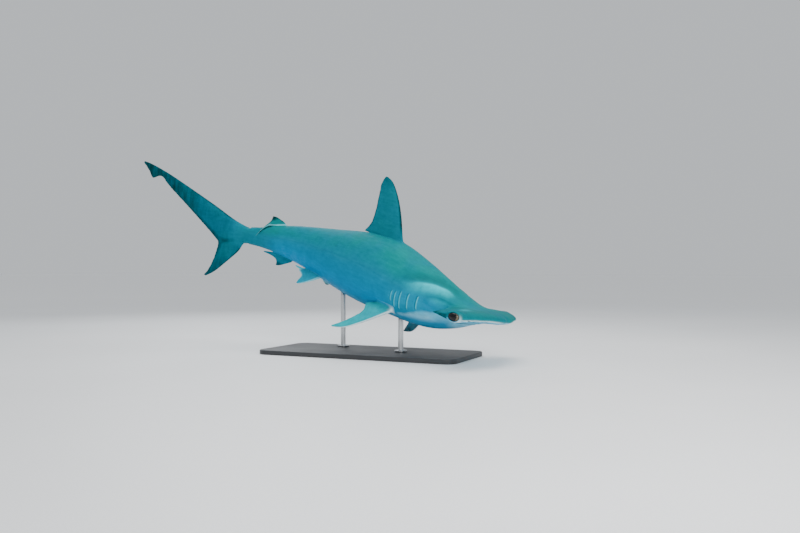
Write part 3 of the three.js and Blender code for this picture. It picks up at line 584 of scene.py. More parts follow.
# Head: the hammer's two faces share their edges. An opening at each end holds the eye. The lids and
# the socket are rings of half length, half height and right.
EYE_RINGS = (1, 8)
EYE_COLUMNS = 2
LID = [(1.42, 1.08, 12.3), (1.36, 0.98, 12.46), (1.26, 0.87, 12.5), (1.17, 0.79, 12.47), (1.13, 0.77, 12.38),
       (1.24, 0.86, 12.15), (1.26, 0.87, 11.9), (1, 0.7, 11.4)]
LID_EVENNESS = 0.6
SOCKET_END = 11.2


def build_head(neck):
    """Neck is the first ring of the body."""
    columns = WING_STEPS + QUARTER
    last = len(CHORD_RINGS) - 1
    known = {}

    def corner(column, ring, face, side):
        if ring == last and column >= WING_STEPS:
            step = column - WING_STEPS
            return neck[face * (step if side > 0 else 2 * QUARTER - step) % COLUMNS]
        shared_face = 1 if column == 0 or ring in (0, last) else face
        shared_side = 1 if column == columns else side
        key = (column, ring, shared_face, shared_side)
        if key not in known:
            known[key] = CAGE.add(hammer_point(column, CHORD_RINGS[ring], face, side))
        return known[key]

    for side in (1, -1):
        for face in (1, -1):
            for c in range(columns):
                for r in range(last):
                    if c >= EYE_COLUMNS or not EYE_RINGS[0] <= r < EYE_RINGS[1]:
                        around = ((c, r), (c + 1, r), (c + 1, r + 1), (c, r + 1))
                        CAGE.face(*[corner(*k, face, side) for k in around])
        open_eye(side, corner)


def open_eye(side, corner):
    """The lids and the socket, ring by ring, from the hole in the wing's end inwards."""
    def half_way(start, end):
        """Round the hole on one face, from one ring to the other."""
        step = 1 if end > start else -1
        way = [(c, start) for c in range(EYE_COLUMNS)] + [(EYE_COLUMNS, r) for r in range(start, end, step)]
        return way + [(c, end) for c in range(EYE_COLUMNS, 0, -1)]

    first, last = EYE_RINGS
    before = [corner(*k, 1, side) for k in half_way(first, last)]
    before += [corner(*k, -1, side) for k in half_way(last, first)]
    corners = np.array([CAGE.points[i] for i in before])
    about = np.arctan2((corners[:, 2] - EYE_UP) / EYE["high"], (corners[:, 0] - EYE_STATION) / EYE["long"])
    step = 2 * math.pi / len(about) * np.sign(about[1] - about[0])
    gap = (about[0] + step * np.arange(len(about)) - about + math.pi) % (2 * math.pi) - math.pi
    about = about + LID_EVENNESS * (gap - gap.mean())
    for long, high, right in LID:
        ring = [CAGE.add((EYE_STATION + long * math.cos(a), side * right, EYE_UP + high * math.sin(a)))
                for a in about]
        CAGE.band(before, ring)
        before = ring
    middle = CAGE.add((EYE_STATION, side * SOCKET_END, EYE_UP))
    CAGE.band(before, [middle] * len(before))


def keep(mesh, name, values):
    """Stores a number or a vector for each point of a mesh."""
    values = np.asarray(values, np.float32)
    kind, field = ("FLOAT", "value") if values.ndim == 1 else ("FLOAT_VECTOR", "vector")
    mesh.attributes.new(name, kind, "POINT").data.foreach_set(field, values.ravel())


def fetch(rows, field, width=1):
    values = np.zeros(len(rows) * width, np.float32)
    rows.foreach_get(field, values)
    return values.astype(float) if width == 1 else values.reshape(-1, width).astype(float)


def new_mesh(name, points, faces):
    mesh = bpy.data.meshes.new(name)
    mesh.from_pydata(points, [], faces)
    return mesh


def new_object(name, data):
    thing = bpy.data.objects.new(name, data)
    bpy.context.scene.collection.objects.link(thing)
    return thing


def subdivided():
    """The cage as a mesh, subdivided. Its points are still straight and level."""
    mesh = new_mesh("cage", CAGE.points, CAGE.faces)
    bm = bmesh.new()
    bm.from_mesh(mesh)
    bmesh.ops.recalc_face_normals(bm, faces=bm.faces)
    bm.to_mesh(mesh)
    bm.free()
    for name in ("bent", "span", "chord", "kind"):
        keep(mesh, name, getattr(CAGE, name))
    cage = new_object("cage", mesh)
    cage.modifiers.new("subdivide", "SUBSURF").levels = SKIN_LEVEL
    graph = bpy.context.evaluated_depsgraph_get()
    fine = bpy.data.meshes.new_from_object(cage.evaluated_get(graph), preserve_all_data_layers=True,
                                           depsgraph=graph)
    bpy.data.objects.remove(cage)
    return fine


# Creases, flaps and folds, laid on the subdivided skin while it is still straight. Each gill slit is
# given by its station and the angles of its upper and lower end.
GILLS = [(17, 3, -21), (18.85, 2, -26), (20.55, 1, -31), (21.75, -2, -30), (22.75, -3, -21)]
GILL_BOW = 0.1
GILL_FLAP = 0.15
GILL_GROOVE = 0.19
GILL_OVERLAP = 0.09
MOUTH = {"front": 6.6, "corner": 9.2, "half": 3.5, "groove": 0.26, "wide": 0.13, "fold": 0.12}
NOSTRIL = {"right": 10, "behind_front": 0.5, "long": 0.75, "wide": 0.17, "deep": 0.2, "skew": 0.35,
           "flap": 0.07}
PRENARIAL_GROOVE = {"from": 5.4, "to": 10, "behind_front": 0.42, "wide": 0.14, "deep": 0.06}
PRECAUDAL_PIT = {"station": 71, "long": 0.3, "deep": 0.24}
VENT = {"station": 50.6, "long": 0.7, "wide": 0.14, "deep": 0.14}
RIDGE_LIFT = 0.1
SHOULDER_LIFT = 0.06
MUSCLE_RIPPLE = 0.022
FINE_RIPPLE = 0.01
LOOSE_EDGE = 0.05
FIN_FLUTTER = 0.05
RIM_CRINKLE = 0.035
THINNEST = 0.5
WING_END = 9
FAR = 9


def ripple(points, size, turn=0):
    """A smooth irregular wave between about -1 and 1, whose swells are size wide."""
    a, b, c = (points / size).T
    one = np.sin(1.9 * a + 1.3 * np.sin(1.1 * b + turn) + turn)
    two = np.sin(2.3 * b + 1.1 * np.sin(1.7 * c + a))
    three = np.sin(2.1 * c + 1.2 * np.sin(1.3 * a - b) - turn)
    return (one + two + three) / 3


def angle_of(station, right, up):
    """The angle round the trunk of each point, from -90 on the belly over 0 on the side to 90 on the back."""
    upper = up > 0
    half_power = np.where(upper, BACK_ROUNDNESS, BELLY_ROUNDNESS) / 2
    height = np.maximum(np.where(upper, TOP(station), BOTTOM(station)), THINNEST)
    along_up = (np.abs(up) / height) ** half_power
    along_right = (np.abs(right) / HALF_WIDTH(station)) ** half_power
    return np.degrees(np.arctan2(np.where(upper, along_up, -along_up), along_right))


class Skin:
    """What each point of the straight skin knows about its place on the animal."""

    def __init__(self, mesh):
        facts = mesh.attributes
        self.points = fetch(mesh.vertices, "co", 3)
        self.normals = fetch(mesh.vertex_normals, "vector", 3)
        self.station, self.right, self.up = self.points.T
        self.across = np.abs(self.right)
        self.span, self.chord = fetch(facts["span"].data, "value"), fetch(facts["chord"].data, "value")
        self.chord = np.clip(self.chord, 0, 1)
        self.midline, self.pair, self.caudal = fetch(facts["kind"].data, "vector", 3).T
        self.body = np.clip(1 - self.midline - self.pair - self.caudal, 0, 1)
        self.angle = angle_of(self.station, self.right, self.up)
        self.behind_front = self.station - front_edge(self.right)
        chord = np.clip(self.behind_front / (rear_edge(self.right) - front_edge(self.right)), 0, 1)
        self.over_wing = self.up + droop(self.right, chord)
        wing = most(smooth(NECK_HALF - 0.4, NECK_HALF + 0.9, self.across), smooth(6.2, 3.6, self.station))
        self.wing = wing * smooth(11.7, 11.1, self.station)
        ahead_of_eye = EYE_STATION - self.station
        over_eye = self.up + droop(HAMMER_HALF)
        far = FAR * (self.across < WING_END)
        self.from_eye = np.hypot(ahead_of_eye / LID[1][0], over_eye / LID[1][1]) + far
        self.round_eye = np.degrees(np.arctan2(over_eye, ahead_of_eye))
        self.underneath = smooth(0.1, -0.3, self.normals[:, 2])
        self.lift, self.slide, self.crease_shade_and_line, self.gill_rim_highlight = np.zeros((4, len(self.points)))

    # Painted shade in creases, slits and pits, where shade falls.
    def paint_crease_shade(self, share):
        self.crease_shade_and_line = np.maximum(self.crease_shade_and_line, share)

    def gills(self):
        for at, top, low in GILLS:
            v = (2 * self.angle - top - low) / (top - low)
            ends = smooth(1.12, 0.72, np.abs(v)) * self.body * (self.station < 26)
            d = self.station - at - GILL_BOW * (1 - v * v)
            self.lift += ends * GILL_FLAP * plateau(d, -0.9, -0.04, -0.04, 0.06)
            self.lift -= ends * GILL_GROOVE * plateau(d, -0.02, 0.1, 0.14, 0.62)
            self.slide += ends * GILL_OVERLAP * hump(d + 0.04, 0.14)
            # Painted shade in the groove behind each gill flap.
            self.paint_crease_shade(ends * hump(d - 0.12, 0.13))
            # Painted highlight on the lit free edge of each gill flap.
            self.gill_rim_highlight = most(self.gill_rim_highlight, ends * hump(d + 0.09, 0.12))

    def mouth(self):
        half, corner, depth = MOUTH["half"], MOUTH["corner"], MOUTH["corner"] - MOUTH["front"]
        part = np.clip(self.across / half, 0, 1)
        d = (self.station - MOUTH["front"] - depth * part ** 2) / np.hypot(1, 2 * depth * part / half)
        here = self.underneath * self.body * smooth(half + 0.25, half - 0.35, self.across)
        here = here * (self.station < HEAD_END)
        lips = 0.09 * hump(d + 0.42, 0.28) + 0.06 * hump(d - 0.5, 0.32)
        self.lift += here * (lips - MOUTH["groove"] * hump(d, MOUTH["wide"]))
        # Painted shade in the mouth's groove.
        self.paint_crease_shade(here * hump(d, 0.16))
        fold = hump(self.across - half - 0.2, 0.14) * hump(self.station - corner + 0.1, 0.75)
        fold = fold * self.underneath * self.body
        self.lift -= MOUTH["fold"] * fold
        # Painted shade in the fold at the mouth's corner.
        self.paint_crease_shade(0.7 * fold)

    def nostrils(self):
        off = self.across - NOSTRIL["right"]
        d = self.behind_front - NOSTRIL["behind_front"] + NOSTRIL["skew"] * off
        slit = hump(off, NOSTRIL["long"]) * hump(d, NOSTRIL["wide"]) * self.underneath
        flap = hump(off, 0.4) * hump(d + 0.3, 0.16) * self.underneath
        self.lift += NOSTRIL["flap"] * flap - NOSTRIL["deep"] * slit
        # Painted shade in the nostril's slit.
        self.paint_crease_shade(np.clip(1.5 * slit, 0, 1))
        start, end = PRENARIAL_GROOVE["from"], PRENARIAL_GROOVE["to"]
        groove = plateau(self.across, start, start + 1, end - 0.6, end) * self.underneath
        groove = groove * hump(self.behind_front - PRENARIAL_GROOVE["behind_front"], PRENARIAL_GROOVE["wide"])
        self.lift -= PRENARIAL_GROOVE["deep"] * groove
        # Painted shade in the groove before the nostrils.
        self.paint_crease_shade(0.35 * groove)

    def muscles(self):
        run = np.clip((self.station - SWELL["from"]) / (SWELL["to"] - SWELL["from"]), 0, 1)
        off = self.angle - RIDGE_ANGLE(self.station)
        self.ridge = np.sin(math.pi * run) ** 0.7 * self.body
        self.lift += RIDGE_LIFT * self.ridge * (hump(off + 2, 7) - 0.8 * hump(off - 11, 8))
        pit = hump(self.station - PRECAUDAL_PIT["station"], PRECAUDAL_PIT["long"]) * (self.station < 73)
        pit = pit * (smooth(35, 75, self.angle) + 0.5 * smooth(-50, -80, self.angle))
        self.lift -= PRECAUDAL_PIT["deep"] * pit
        shoulder = plateau(self.station, 15, 20, 29, 36) * self.body
        self.lift += SHOULDER_LIFT * shoulder * (hump(self.angle - 60, 9) - hump(self.angle - 42, 9))
        self.lift += MUSCLE_RIPPLE * self.body * ripple(self.points, 3.4)
        self.lift += FINE_RIPPLE * self.body * ripple(self.points, 1.2, 2)
        vent = hump(self.station - VENT["station"], VENT["long"]) * hump(self.right, VENT["wide"])
        vent = vent * (self.up < 0)
        self.lift -= VENT["deep"] * vent
        # Painted shade in the vent.
        self.paint_crease_shade(0.7 * vent)

    def loose_edges(self):
        """The trailing edges of the fins are thin and a little uneven."""
        fin = 1 - self.body
        ragged = ripple(self.points, 0.5) + 0.7 * ripple(self.points, 0.21, 1)
        self.slide += LOOSE_EDGE * fin * smooth(0.86, 1, self.chord) * ragged * smooth(0.1, 0.3, self.span)
        flutter = smooth(0.55, 1, self.chord) * smooth(0.15, 0.4, self.span) * fin
        self.wave = FIN_FLUTTER * flutter * ripple(self.points, 1.1, 3)

    def front_rim(self):
        """The front edge of the hammer is slightly crinkled."""
        near = hump(self.behind_front, 0.35) * (self.station < 8) * smooth(4, 7, self.across)
        self.lift += RIM_CRINKLE * near * np.sin(5.2 * self.across + 1.5 * np.sin(1.7 * self.across))

    def relieved(self):
        self.gills()
        self.mouth()
        self.nostrils()
        self.muscles()
        self.loose_edges()
        self.front_rim()
        moved = self.points + self.normals * self.lift[:, None]
        moved[:, 0] += self.slide
        moved[:, 1] += np.where(self.pair > 0.5, 0, self.wave)
        moved[:, 2] += np.where(self.pair > 0.5, self.wave, 0)
        return moved


# Colour of the skin, by where a point lies on the animal.
TONE_LINE = curve([(0, -4), (8, -10), (12, -18), (16, -22), (20, -40), (26, -55), (34, -58), (48, -58),
                   (56, -72), (62, -90), (78, -102)])
TONE_SOFT = curve([(0, 10), (20, 10), (30, 20), (60, 20)])
LATERAL_LINE = curve([(24, 8), (40, 12), (60, 8), (71, 4)])
BETWEEN_FINS = 44


def paint(skin):
    """How much of each tone the skin has at each point, from 0 to 1."""
    station, angle, across, over_wing = skin.station, skin.angle, skin.across, skin.over_wing
    span, chord, body, wing, ridge = skin.span, skin.chord, skin.body, skin.wing, skin.ridge
    midline, pair, caudal = skin.midline, skin.pair, skin.caudal
    rear, above = station > BETWEEN_FINS, skin.up > 0
    first_dorsal, second_dorsal, anal = midline * ~rear, midline * rear * above, midline * rear * ~above
    pectoral_fin, pelvic_fin = pair * ~rear, pair * rear

    # The pale underside of the body, the hammer and the paired fins.
    facing = 0.7 * (skin.normals[:, 1] * np.sign(skin.right) + skin.normals[:, 2])
    fin_underside = smooth(0.2, -0.2, facing)
    # Painted shade: the end of the hammer behind the eye, under the wing, is kept from the pale underside and
    # darkened.
    behind_eye = wing * smooth(10.2, 11.2, across) * smooth(7.1, 7.7, station) * smooth(0.42, 0.16, over_wing)
    soft = TONE_SOFT(station)
    pale = smooth(soft, -soft, angle - TONE_LINE(station))
    pale = mix(pale, smooth(-0.12, -0.4, over_wing) * (1 - behind_eye), wing)
    pale = mix(pale, fin_underside, pair)
    pale = mix(pale, 0, np.clip(midline + caudal, 0, 1))
    pale = most(pale, 0.15 * pelvic_fin)
    # Painted shade: a darker blue keel under the throat and belly, where less light falls.
    keel_shade = pale * body * smooth(-30, -52, angle) * smooth(9.5, 12, station)

    def edges(lead, trail, trail_full):
        return most(smooth(lead, 0.01, chord), smooth(trail, trail_full, chord))

    # Dark margins and tips of the fins, darker undersides of the paired fins that are partly dusky tips and
    # partly painted shade, and painted shade on the end of the hammer behind the eye.
    out = smooth(0.12, 0.35, span)
    fin_edges = edges(0.13, 0.84, 0.98)
    dark_marks_and_shade = first_dorsal * out * most(0.9 * edges(0.07, 0.93, 0.99), 0.35 * smooth(0.75, 1, span))
    crest = most(fin_edges, smooth(0.5, 0.8, span)) * smooth(0.3, 0.42, span)
    drape = smooth(0.45, 0.65, chord)
    dark_marks_and_shade += second_dorsal * most(0.9 * crest, drape * smooth(0.36, 0.3, span))
    tail_out = smooth(0.04, 0.2, span)
    lobe = 0.45 * tail_out + 0.42 * smooth(0.25, 0.8, span)
    dark_marks_and_shade += caudal * most(0.85 * edges(0.13, 0.66, 0.95) * tail_out, lobe)
    # Undersides of the paired fins: painted shade over the middle of the span and dusky pigment at the tips.
    dark_marks_and_shade += pair * fin_underside * most(0.45 * smooth(0.2, 0.4, span), 0.85 * smooth(0.6, 0.88, span))
    dark_marks_and_shade += pectoral_fin * out * 0.15 * smooth(0.85, 1, chord)
    dark_marks_and_shade += pectoral_fin * out * 0.3 * hump(chord - 0.16, 0.07) * (1 - fin_underside)
    dark_marks_and_shade += anal * most(0.3, 0.75 * smooth(0.55, 0.85, span)) * smooth(0.1, 0.3, span)
    # Painted shade on the end of the hammer behind the eye.
    dark_marks_and_shade += 0.75 * behind_eye

    # Bright: a painted highlight along the jaw muscle ridge and above each eye, painted highlights on the
    # rims of the gills and the upper faces of the pectoral fins, a light patch on the jaw, a faint one over
    # the gill region, the claspers and some fin edges.
    off = angle - RIDGE_ANGLE(station)
    # Painted highlight along the jaw muscle ridge.
    ridge_highlight = ridge * hump(off + 1, np.where(off > -1, 5, 17)) * plateau(station, 10, 12.6, 15, 22)
    jaw = body * hump(angle - 5, 8) * hump(station - 13.2, 1.7)
    # Painted highlight on the top of each wing just above the eye.
    over_eye = hump(across - 8.2, 1.3) * hump(station - 5.9, 0.8) * smooth(0, 0.3, over_wing)
    gill_side = body * hump(angle + 14, 17) * plateau(station, 14.5, 17, 22.5, 25)
    clasper = pair * (station > 53.2) * (across < 2)
    drape_line = second_dorsal * hump(span - mix(0.18, 0.29, drape), 0.045)
    pelvic_rim = pelvic_fin * fin_edges * out
    light_marks_and_highlights = most(0.9 * clasper, 0.8 * drape_line, 0.4 * over_eye, 0.85 * skin.gill_rim_highlight, 0.08 * gill_side,
                  # Painted light on the upper faces of the pectoral fins.
                  0.42 * pectoral_fin * (1 - fin_underside) * out, 0.15 * pelvic_fin + 0.5 * pelvic_rim,
                  0.95 * ridge_highlight, 0.3 * jaw)

    # White: the front rim of the hammer, the lids, the roots of the pectoral fins and a faint painted
    # highlight on the gill rims.
    front = (station < 8) * hump(skin.behind_front - 0.1, 0.5) * hump(over_wing + 0.3, 0.16)
    lid = hump(skin.from_eye - 1.03, 0.16) * smooth(70, -10, np.abs(skin.round_eye + 50) - 30)
    root_front = pectoral_fin * hump(chord, 0.09) * smooth(0.24, 0.16, span)
    white = most(0.95 * front * smooth(1, 4, across), 0.8 * lid, 0.1 * skin.gill_rim_highlight, root_front,
                 0.8 * pectoral_fin * smooth(0.08, 0.02, chord), 0.25 * drape_line, 0.3 * pelvic_rim)

    # Painted shade in the hollows by the jaw ridge and on the hammer's top, a darker first dorsal fin and
    # stalk, the blue flank with painted fill light on its lower part, painted shade in the eye socket, the
    # lateral line and the pores under the snout.
    # Painted shade in the hollow above the jaw ridge and in the one below it towards the eye.
    dusk_and_shade = 0.5 * ridge * hump(off - 20, 13) + 0.45 * ridge * hump(off + 30, 8) * smooth(18, 13, station)
    # Painted shade on the top of the hammer, and a darker first dorsal fin.
    dusk_and_shade += 0.4 * wing * smooth(0, 0.4, over_wing) + 0.3 * first_dorsal
    dusk_and_shade += 0.3 * smooth(60, 68, station) * (body + caudal * smooth(0.15, 0, span))
    flank = body * smooth(38, -8, angle) * smooth(9, 15, station)
    flank = mix(flank, 0.45, smooth(62, STALK_TO_CAUDAL, station) * (body + caudal))
    flank = flank + 0.4 * first_dorsal + 0.8 * pelvic_fin + 0.6 * anal
    # Lighter blue lower flank: painted fill light where less light falls, and partly a paler countershading.
    under = body * smooth(0, -40, angle) * plateau(station, 20, 28, 58, 68)
    # Painted shade in the eye's socket round the eyeball.
    socket = smooth(0.9, 0.8, skin.from_eye)
    line = body * hump(angle - LATERAL_LINE(station), 1.3) * smooth(24, 27, station)
    pores = wing * most(skin.underneath, 0.5 * smooth(2.5, 1, skin.behind_front))
    pores = pores * smooth(0.1, 0.6, skin.behind_front) * smooth(1.1, 1.6, skin.from_eye)
    shares = {"pale": pale, "dark_marks_and_shade": dark_marks_and_shade, "light_marks_and_highlights": light_marks_and_highlights, "dusk_and_shade": dusk_and_shade, "white": white, "flank": flank,
              "crease_shade_and_line": most(skin.crease_shade_and_line, socket, 0.12 * line), "under": under, "keel_shade": keel_shade, "pores": pores}
    return {name: np.clip(share, 0, 1) for name, share in shares.items()}


class Shader:
    """A material, with short ways to add nodes and to join them."""

    def __init__(self, name):
        self.material = bpy.data.materials.new(name)
        self.material.use_nodes = True
        self.nodes = self.material.node_tree.nodes

    def join(self, socket, value):
        if isinstance(value, bpy.types.NodeSocket):
            self.material.node_tree.links.new(value, socket)
        else:
            socket.default_value = value

    def add(self, kind, inputs, output=0, **settings):
        node = self.nodes.new("ShaderNode" + kind)
        for name, value in settings.items():
            setattr(node, name, value)
        for name, value in inputs.items():
            self.join(node.inputs[name], value)
        return node.outputs[output]

    def attribute(self, name, output=2):
        return self.add("Attribute", {}, output, attribute_name=name)

    def where(self):
        return self.add("TexCoord", {}, 3)

    def noise(self, vector, scale, detail=4, roughness=0.55):
        inputs = {"Vector": vector, "Scale": scale, "Detail": detail, "Roughness": roughness}
        return self.add("TexNoise", inputs)

    def cells(self, vector, scale):
        return self.add("TexVoronoi", {"Vector": vector, "Scale": scale})

    def between(self, value, to_low=0, to_high=1, low=0.3, high=0.7):
        """The value, taken from the span between low and high to the one between to_low and to_high."""
        names = {"Value": value, "From Min": low, "From Max": high, "To Min": to_low, "To Max": to_high}
        return self.add("MapRange", names)

    def plus(self, a, b, clamp=False):
        return self.add("Math", {0: a, 1: b}, operation="ADD", use_clamp=clamp)

    def times(self, a, b):
        return self.add("Math", {0: a, 1: b}, operation="MULTIPLY")

    def mix(self, share, a, b):
        return self.add("Mix", {0: share, 6: a, 7: b}, 2, data_type="RGBA")

    def shaded(self, colour, noise, by, low=0.3, high=0.7):
        """The colour made darker and lighter by a share, after a noise."""
        value = self.between(noise, 1 - by, 1 + by, low, high)
        return self.add("HueSaturation", {"Color": colour, "Value": value})

    def stretched(self, vector, factors):
        return self.add("VectorMath", {0: vector, 1: factors}, operation="MULTIPLY")

    def raise_by(self, height, strength, distance, under=None):
        inputs = {"Height": height, "Strength": strength, "Distance": distance}
        if under is not None:
            inputs["Normal"] = under
        return self.add("Bump", inputs)

    def finish(self, **inputs):
        for name, value in inputs.items():
            self.join(self.nodes["Principled BSDF"].inputs[name.replace("_", " ")], value)
        return self.material


BACK_TEAL = (0.0005, 0.18, 0.24, 1)
BACK_GREEN = (0.0005, 0.205, 0.21, 1)
FLANK_BLUE = (0.0005, 0.21, 0.36, 1)
LOWER_FLANK_PALE_AND_FILL = (0.0005, 0.25, 0.5, 1)
BELLY = (0.07, 0.42, 0.62, 1)
BELLY_WARM = (0.22, 0.52, 0.68, 1)
KEEL_SHADE_BLUE = (0.015, 0.26, 0.46, 1)
DARK_MARK_AND_SHADE = (0.001, 0.032, 0.036, 1)
LIGHT_EDGE_AND_HIGHLIGHT = (0.004, 0.66, 0.76, 1)
WHITE_EDGE = (0.72, 0.86, 0.9, 1)
DUSK_AND_SHADE = (0.002, 0.09, 0.09, 1)
CREASE_SHADE_AND_PORE = (0.001, 0.05, 0.09, 1)
SHEEN = (0.25, 0.9, 1, 1)
WET_SKIN_IOR = 1.11
PORES_PER_CENT = 3.2
DENTICLES_PER_CENT = 26


def skin_material():
    s = Shader("skin")
    rest = s.attribute("rest", 1)
    cloud, mottle, grain = s.noise(rest, 0.13, 3), s.noise(rest, 0.8, 6, 0.62), s.noise(rest, 9, 4, 0.6)
    streak = s.noise(s.stretched(rest, (0.35, 2.2, 2.2)), 1, 5, 0.6)
    rays = s.noise(s.stretched(rest, (1.3, 1.3, 0.3)), 1, 3)
    colour = s.mix(s.between(cloud, low=0.35, high=0.65), BACK_TEAL, BACK_GREEN)
    colour = s.mix(s.attribute("flank"), colour, FLANK_BLUE)
    # Painted fill light on the lower flank, partly a paler countershading.
    colour = s.mix(s.attribute("under"), colour, LOWER_FLANK_PALE_AND_FILL)
    belly = s.mix(s.between(cloud, low=0.4, high=0.62), BELLY, BELLY_WARM)
    # Painted shade on the keel.
    belly = s.mix(s.attribute("keel_shade"), belly, KEEL_SHADE_BLUE)
    pale = s.plus(s.attribute("pale"), s.between(mottle, -0.16, 0.16), clamp=True)
    colour = s.mix(s.between(pale, low=0.25, high=0.85), colour, belly)
    # Painted shade in the head's hollows and on the hammer's top, with a darker first dorsal fin and stalk.
    colour = s.mix(s.attribute("dusk_and_shade"), colour, DUSK_AND_SHADE)
    colour = s.shaded(colour, streak, 0.11, 0.25, 0.75)
    colour = s.shaded(colour, mottle, 0.09)
    # Dark fin margins, with painted shade behind the eyes and under the paired fins.
    colour = s.mix(s.times(s.attribute("dark_marks_and_shade"), s.between(rays, 0.75, 1.15)), colour, DARK_MARK_AND_SHADE)
    # Light marks with painted highlights, then white marks with a faint painted highlight on the gill rims.
    for name, least, tone in (("light_marks_and_highlights", 0.7, LIGHT_EDGE_AND_HIGHLIGHT), ("white", 0.8, WHITE_EDGE)):
        share = s.times(s.attribute(name), s.between(mottle, least, 1, high=0.6))
        colour = s.mix(share, colour, tone)
    # Painted shade in creases, slits, pits and the eye socket, and the darker lateral line.
    colour = s.mix(s.attribute("crease_shade_and_line"), colour, CREASE_SHADE_AND_PORE)
    colour = s.shaded(colour, grain, 0.07)
    pit = s.between(s.cells(rest, PORES_PER_CENT), 1, 0, 0.1, 0.17)
    colour = s.mix(s.times(s.times(pit, s.attribute("pores")), 0.6), colour, CREASE_SHADE_AND_PORE)
    relief = s.raise_by(mottle, 0.35, 0.004)
    relief = s.raise_by(grain, 0.3, 0.0012, relief)
    relief = s.raise_by(s.cells(rest, DENTICLES_PER_CENT), 0.12, 0.0005, relief)
    gloss = s.plus(s.between(grain, 0.46, 0.6), s.between(mottle, -0.05, 0.05))
    return s.finish(Base_Color=colour, Roughness=gloss, Normal=relief, IOR=WET_SKIN_IOR, Specular_Tint=SHEEN)


IRIS_GOLD = (0.15, 0.128, 0.08, 1)
IRIS_BROWN = (0.06, 0.042, 0.02, 1)
PUPIL = (0.002, 0.002, 0.003, 1)
LIMBUS = (0.012, 0.012, 0.012, 1)


def eye_material():
    """Gaze holds how far a point lies from the middle of the pupil and which way."""
    s = Shader("eye")
    gaze = s.attribute("gaze", 1)
    out = s.add("SeparateXYZ", {0: gaze})
    streaks = s.noise(s.stretched(gaze, (1.2, 9, 9)), 1.3, 6, 0.65)
    flecks = s.noise(gaze, 7, 4)
    iris = s.mix(s.between(streaks, low=0.35, high=0.62), IRIS_BROWN, IRIS_GOLD)
    iris = s.shaded(iris, flecks, 0.3)
    wavy = s.plus(out, s.between(streaks, -0.035, 0.035))
    colour = s.mix(s.between(wavy, low=0.66, high=0.72), PUPIL, iris)
    colour = s.mix(s.between(wavy, low=0.9, high=1.02), colour, LIMBUS)
    return s.finish(Base_Color=colour, Roughness=s.between(flecks, 0.26, 0.34), Specular_IOR_Level=0.0,
                    Normal=s.raise_by(streaks, 0.1, 0.0006), Coat_Weight=1.0, Coat_Roughness=0.03,
                    Coat_IOR=1.36)


def stand_material():
    s = Shader("stand_paint")
    where = s.where()
    cloud = s.noise(where, 4, 4)
    paints = (0.021, 0.023, 0.026, 1), (0.03, 0.032, 0.035, 1)
    colour = s.mix(s.between(cloud, low=0.35, high=0.65), *paints)
    relief = s.raise_by(s.noise(where, 900, 3), 0.25, 0.0004)
    return s.finish(Base_Color=colour, Roughness=s.between(cloud, 0.42, 0.55), Normal=relief)


def steel_material():
    s = Shader("brushed_rod")
    where = s.where()
    brushed = s.noise(s.stretched(where, (900, 900, 12)), 1, 4)
    gloss = s.plus(s.between(brushed, 0.22, 0.36), s.between(s.noise(where, 12, 3), -0.04, 0.06))
    colour = s.mix(s.between(brushed), (0.5, 0.51, 0.52, 1), (0.6, 0.61, 0.62, 1))
    relief = s.raise_by(brushed, 0.08, 0.0003)
    return s.finish(Base_Color=colour, Metallic=1.0, Roughness=gloss, Normal=relief)


def floor_material():
    """Pale, and white from afar."""
    s = Shader("floor")
    where = s.where()
    cloud, fine = s.noise(where, 0.6, 5), s.noise(where, 160, 4)
    colour = s.mix(s.between(cloud), (0.86, 0.87, 0.88, 1), (0.91, 0.92, 0.93, 1))
    colour = s.shaded(colour, fine, 0.03)
    far = s.between(s.add("VectorMath", {0: where}, 1, operation="LENGTH"), low=4, high=9)
    colour = s.mix(far, colour, (1, 1, 1, 1))
    relief = s.raise_by(fine, 0.1, 0.0005)
    return s.finish(Base_Color=colour, Roughness=s.between(cloud, 0.5, 0.62), Normal=relief)


def new_piece(name, mesh, material):
    mesh.materials.append(material)
    for polygon in mesh.polygons:
        polygon.use_smooth = True
    return new_object(name, mesh)


def lofted(name, points, around, material, inside_out=False):
    """A piece through rings of points, each ring so many points around, with a flat face on each end."""
    count = len(points) // around
    corners = np.arange(count * around).reshape(count, around)
    turned_on = np.roll(corners, -1, 1)
    quads = np.stack([corners[:-1], turned_on[:-1], turned_on[1:], corners[1:]], -1).reshape(-1, 4)
    faces = quads.tolist() + [corners[0, ::-1].tolist(), corners[-1].tolist()]
    if inside_out:
        faces = [face[::-1] for face in faces]
    return new_piece(name, new_mesh(name, np.asarray(points, float).tolist(), faces), material)


def make_skin():
    build_head(build_body())
    mesh = subdivided()
    straight = Skin(mesh)
    moved = straight.relieved()
    keep(mesh, "rest", straight.points)
    for name, values in paint(straight).items():
        keep(mesh, name, values)
    placed = place(moved, fetch(mesh.attributes["bent"].data, "value")).astype(np.float32)
    mesh.vertices.foreach_set("co", placed.ravel())
    mesh.update()
    piece = new_piece("skin", mesh, skin_material())
    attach(piece, "root")
    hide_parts("head", "trunk", "tail_stalk", "caudal_fin", "first_dorsal_fin", "second_dorsal_fin",
                "anal_fin", "pectoral_fin_right", "pectoral_fin_left", "pelvic_fin_right", "pelvic_fin_left")


make_skin()

# Eyes: each an eyeball with its pupil looking out sideways. Gaze is 2 on the inner half.
EYE_ROUND = 64
EYE_DEEP = 28
EYE_END = 0.02
PUPIL_REACH = 1.22
PUPIL_BACK = 0.12


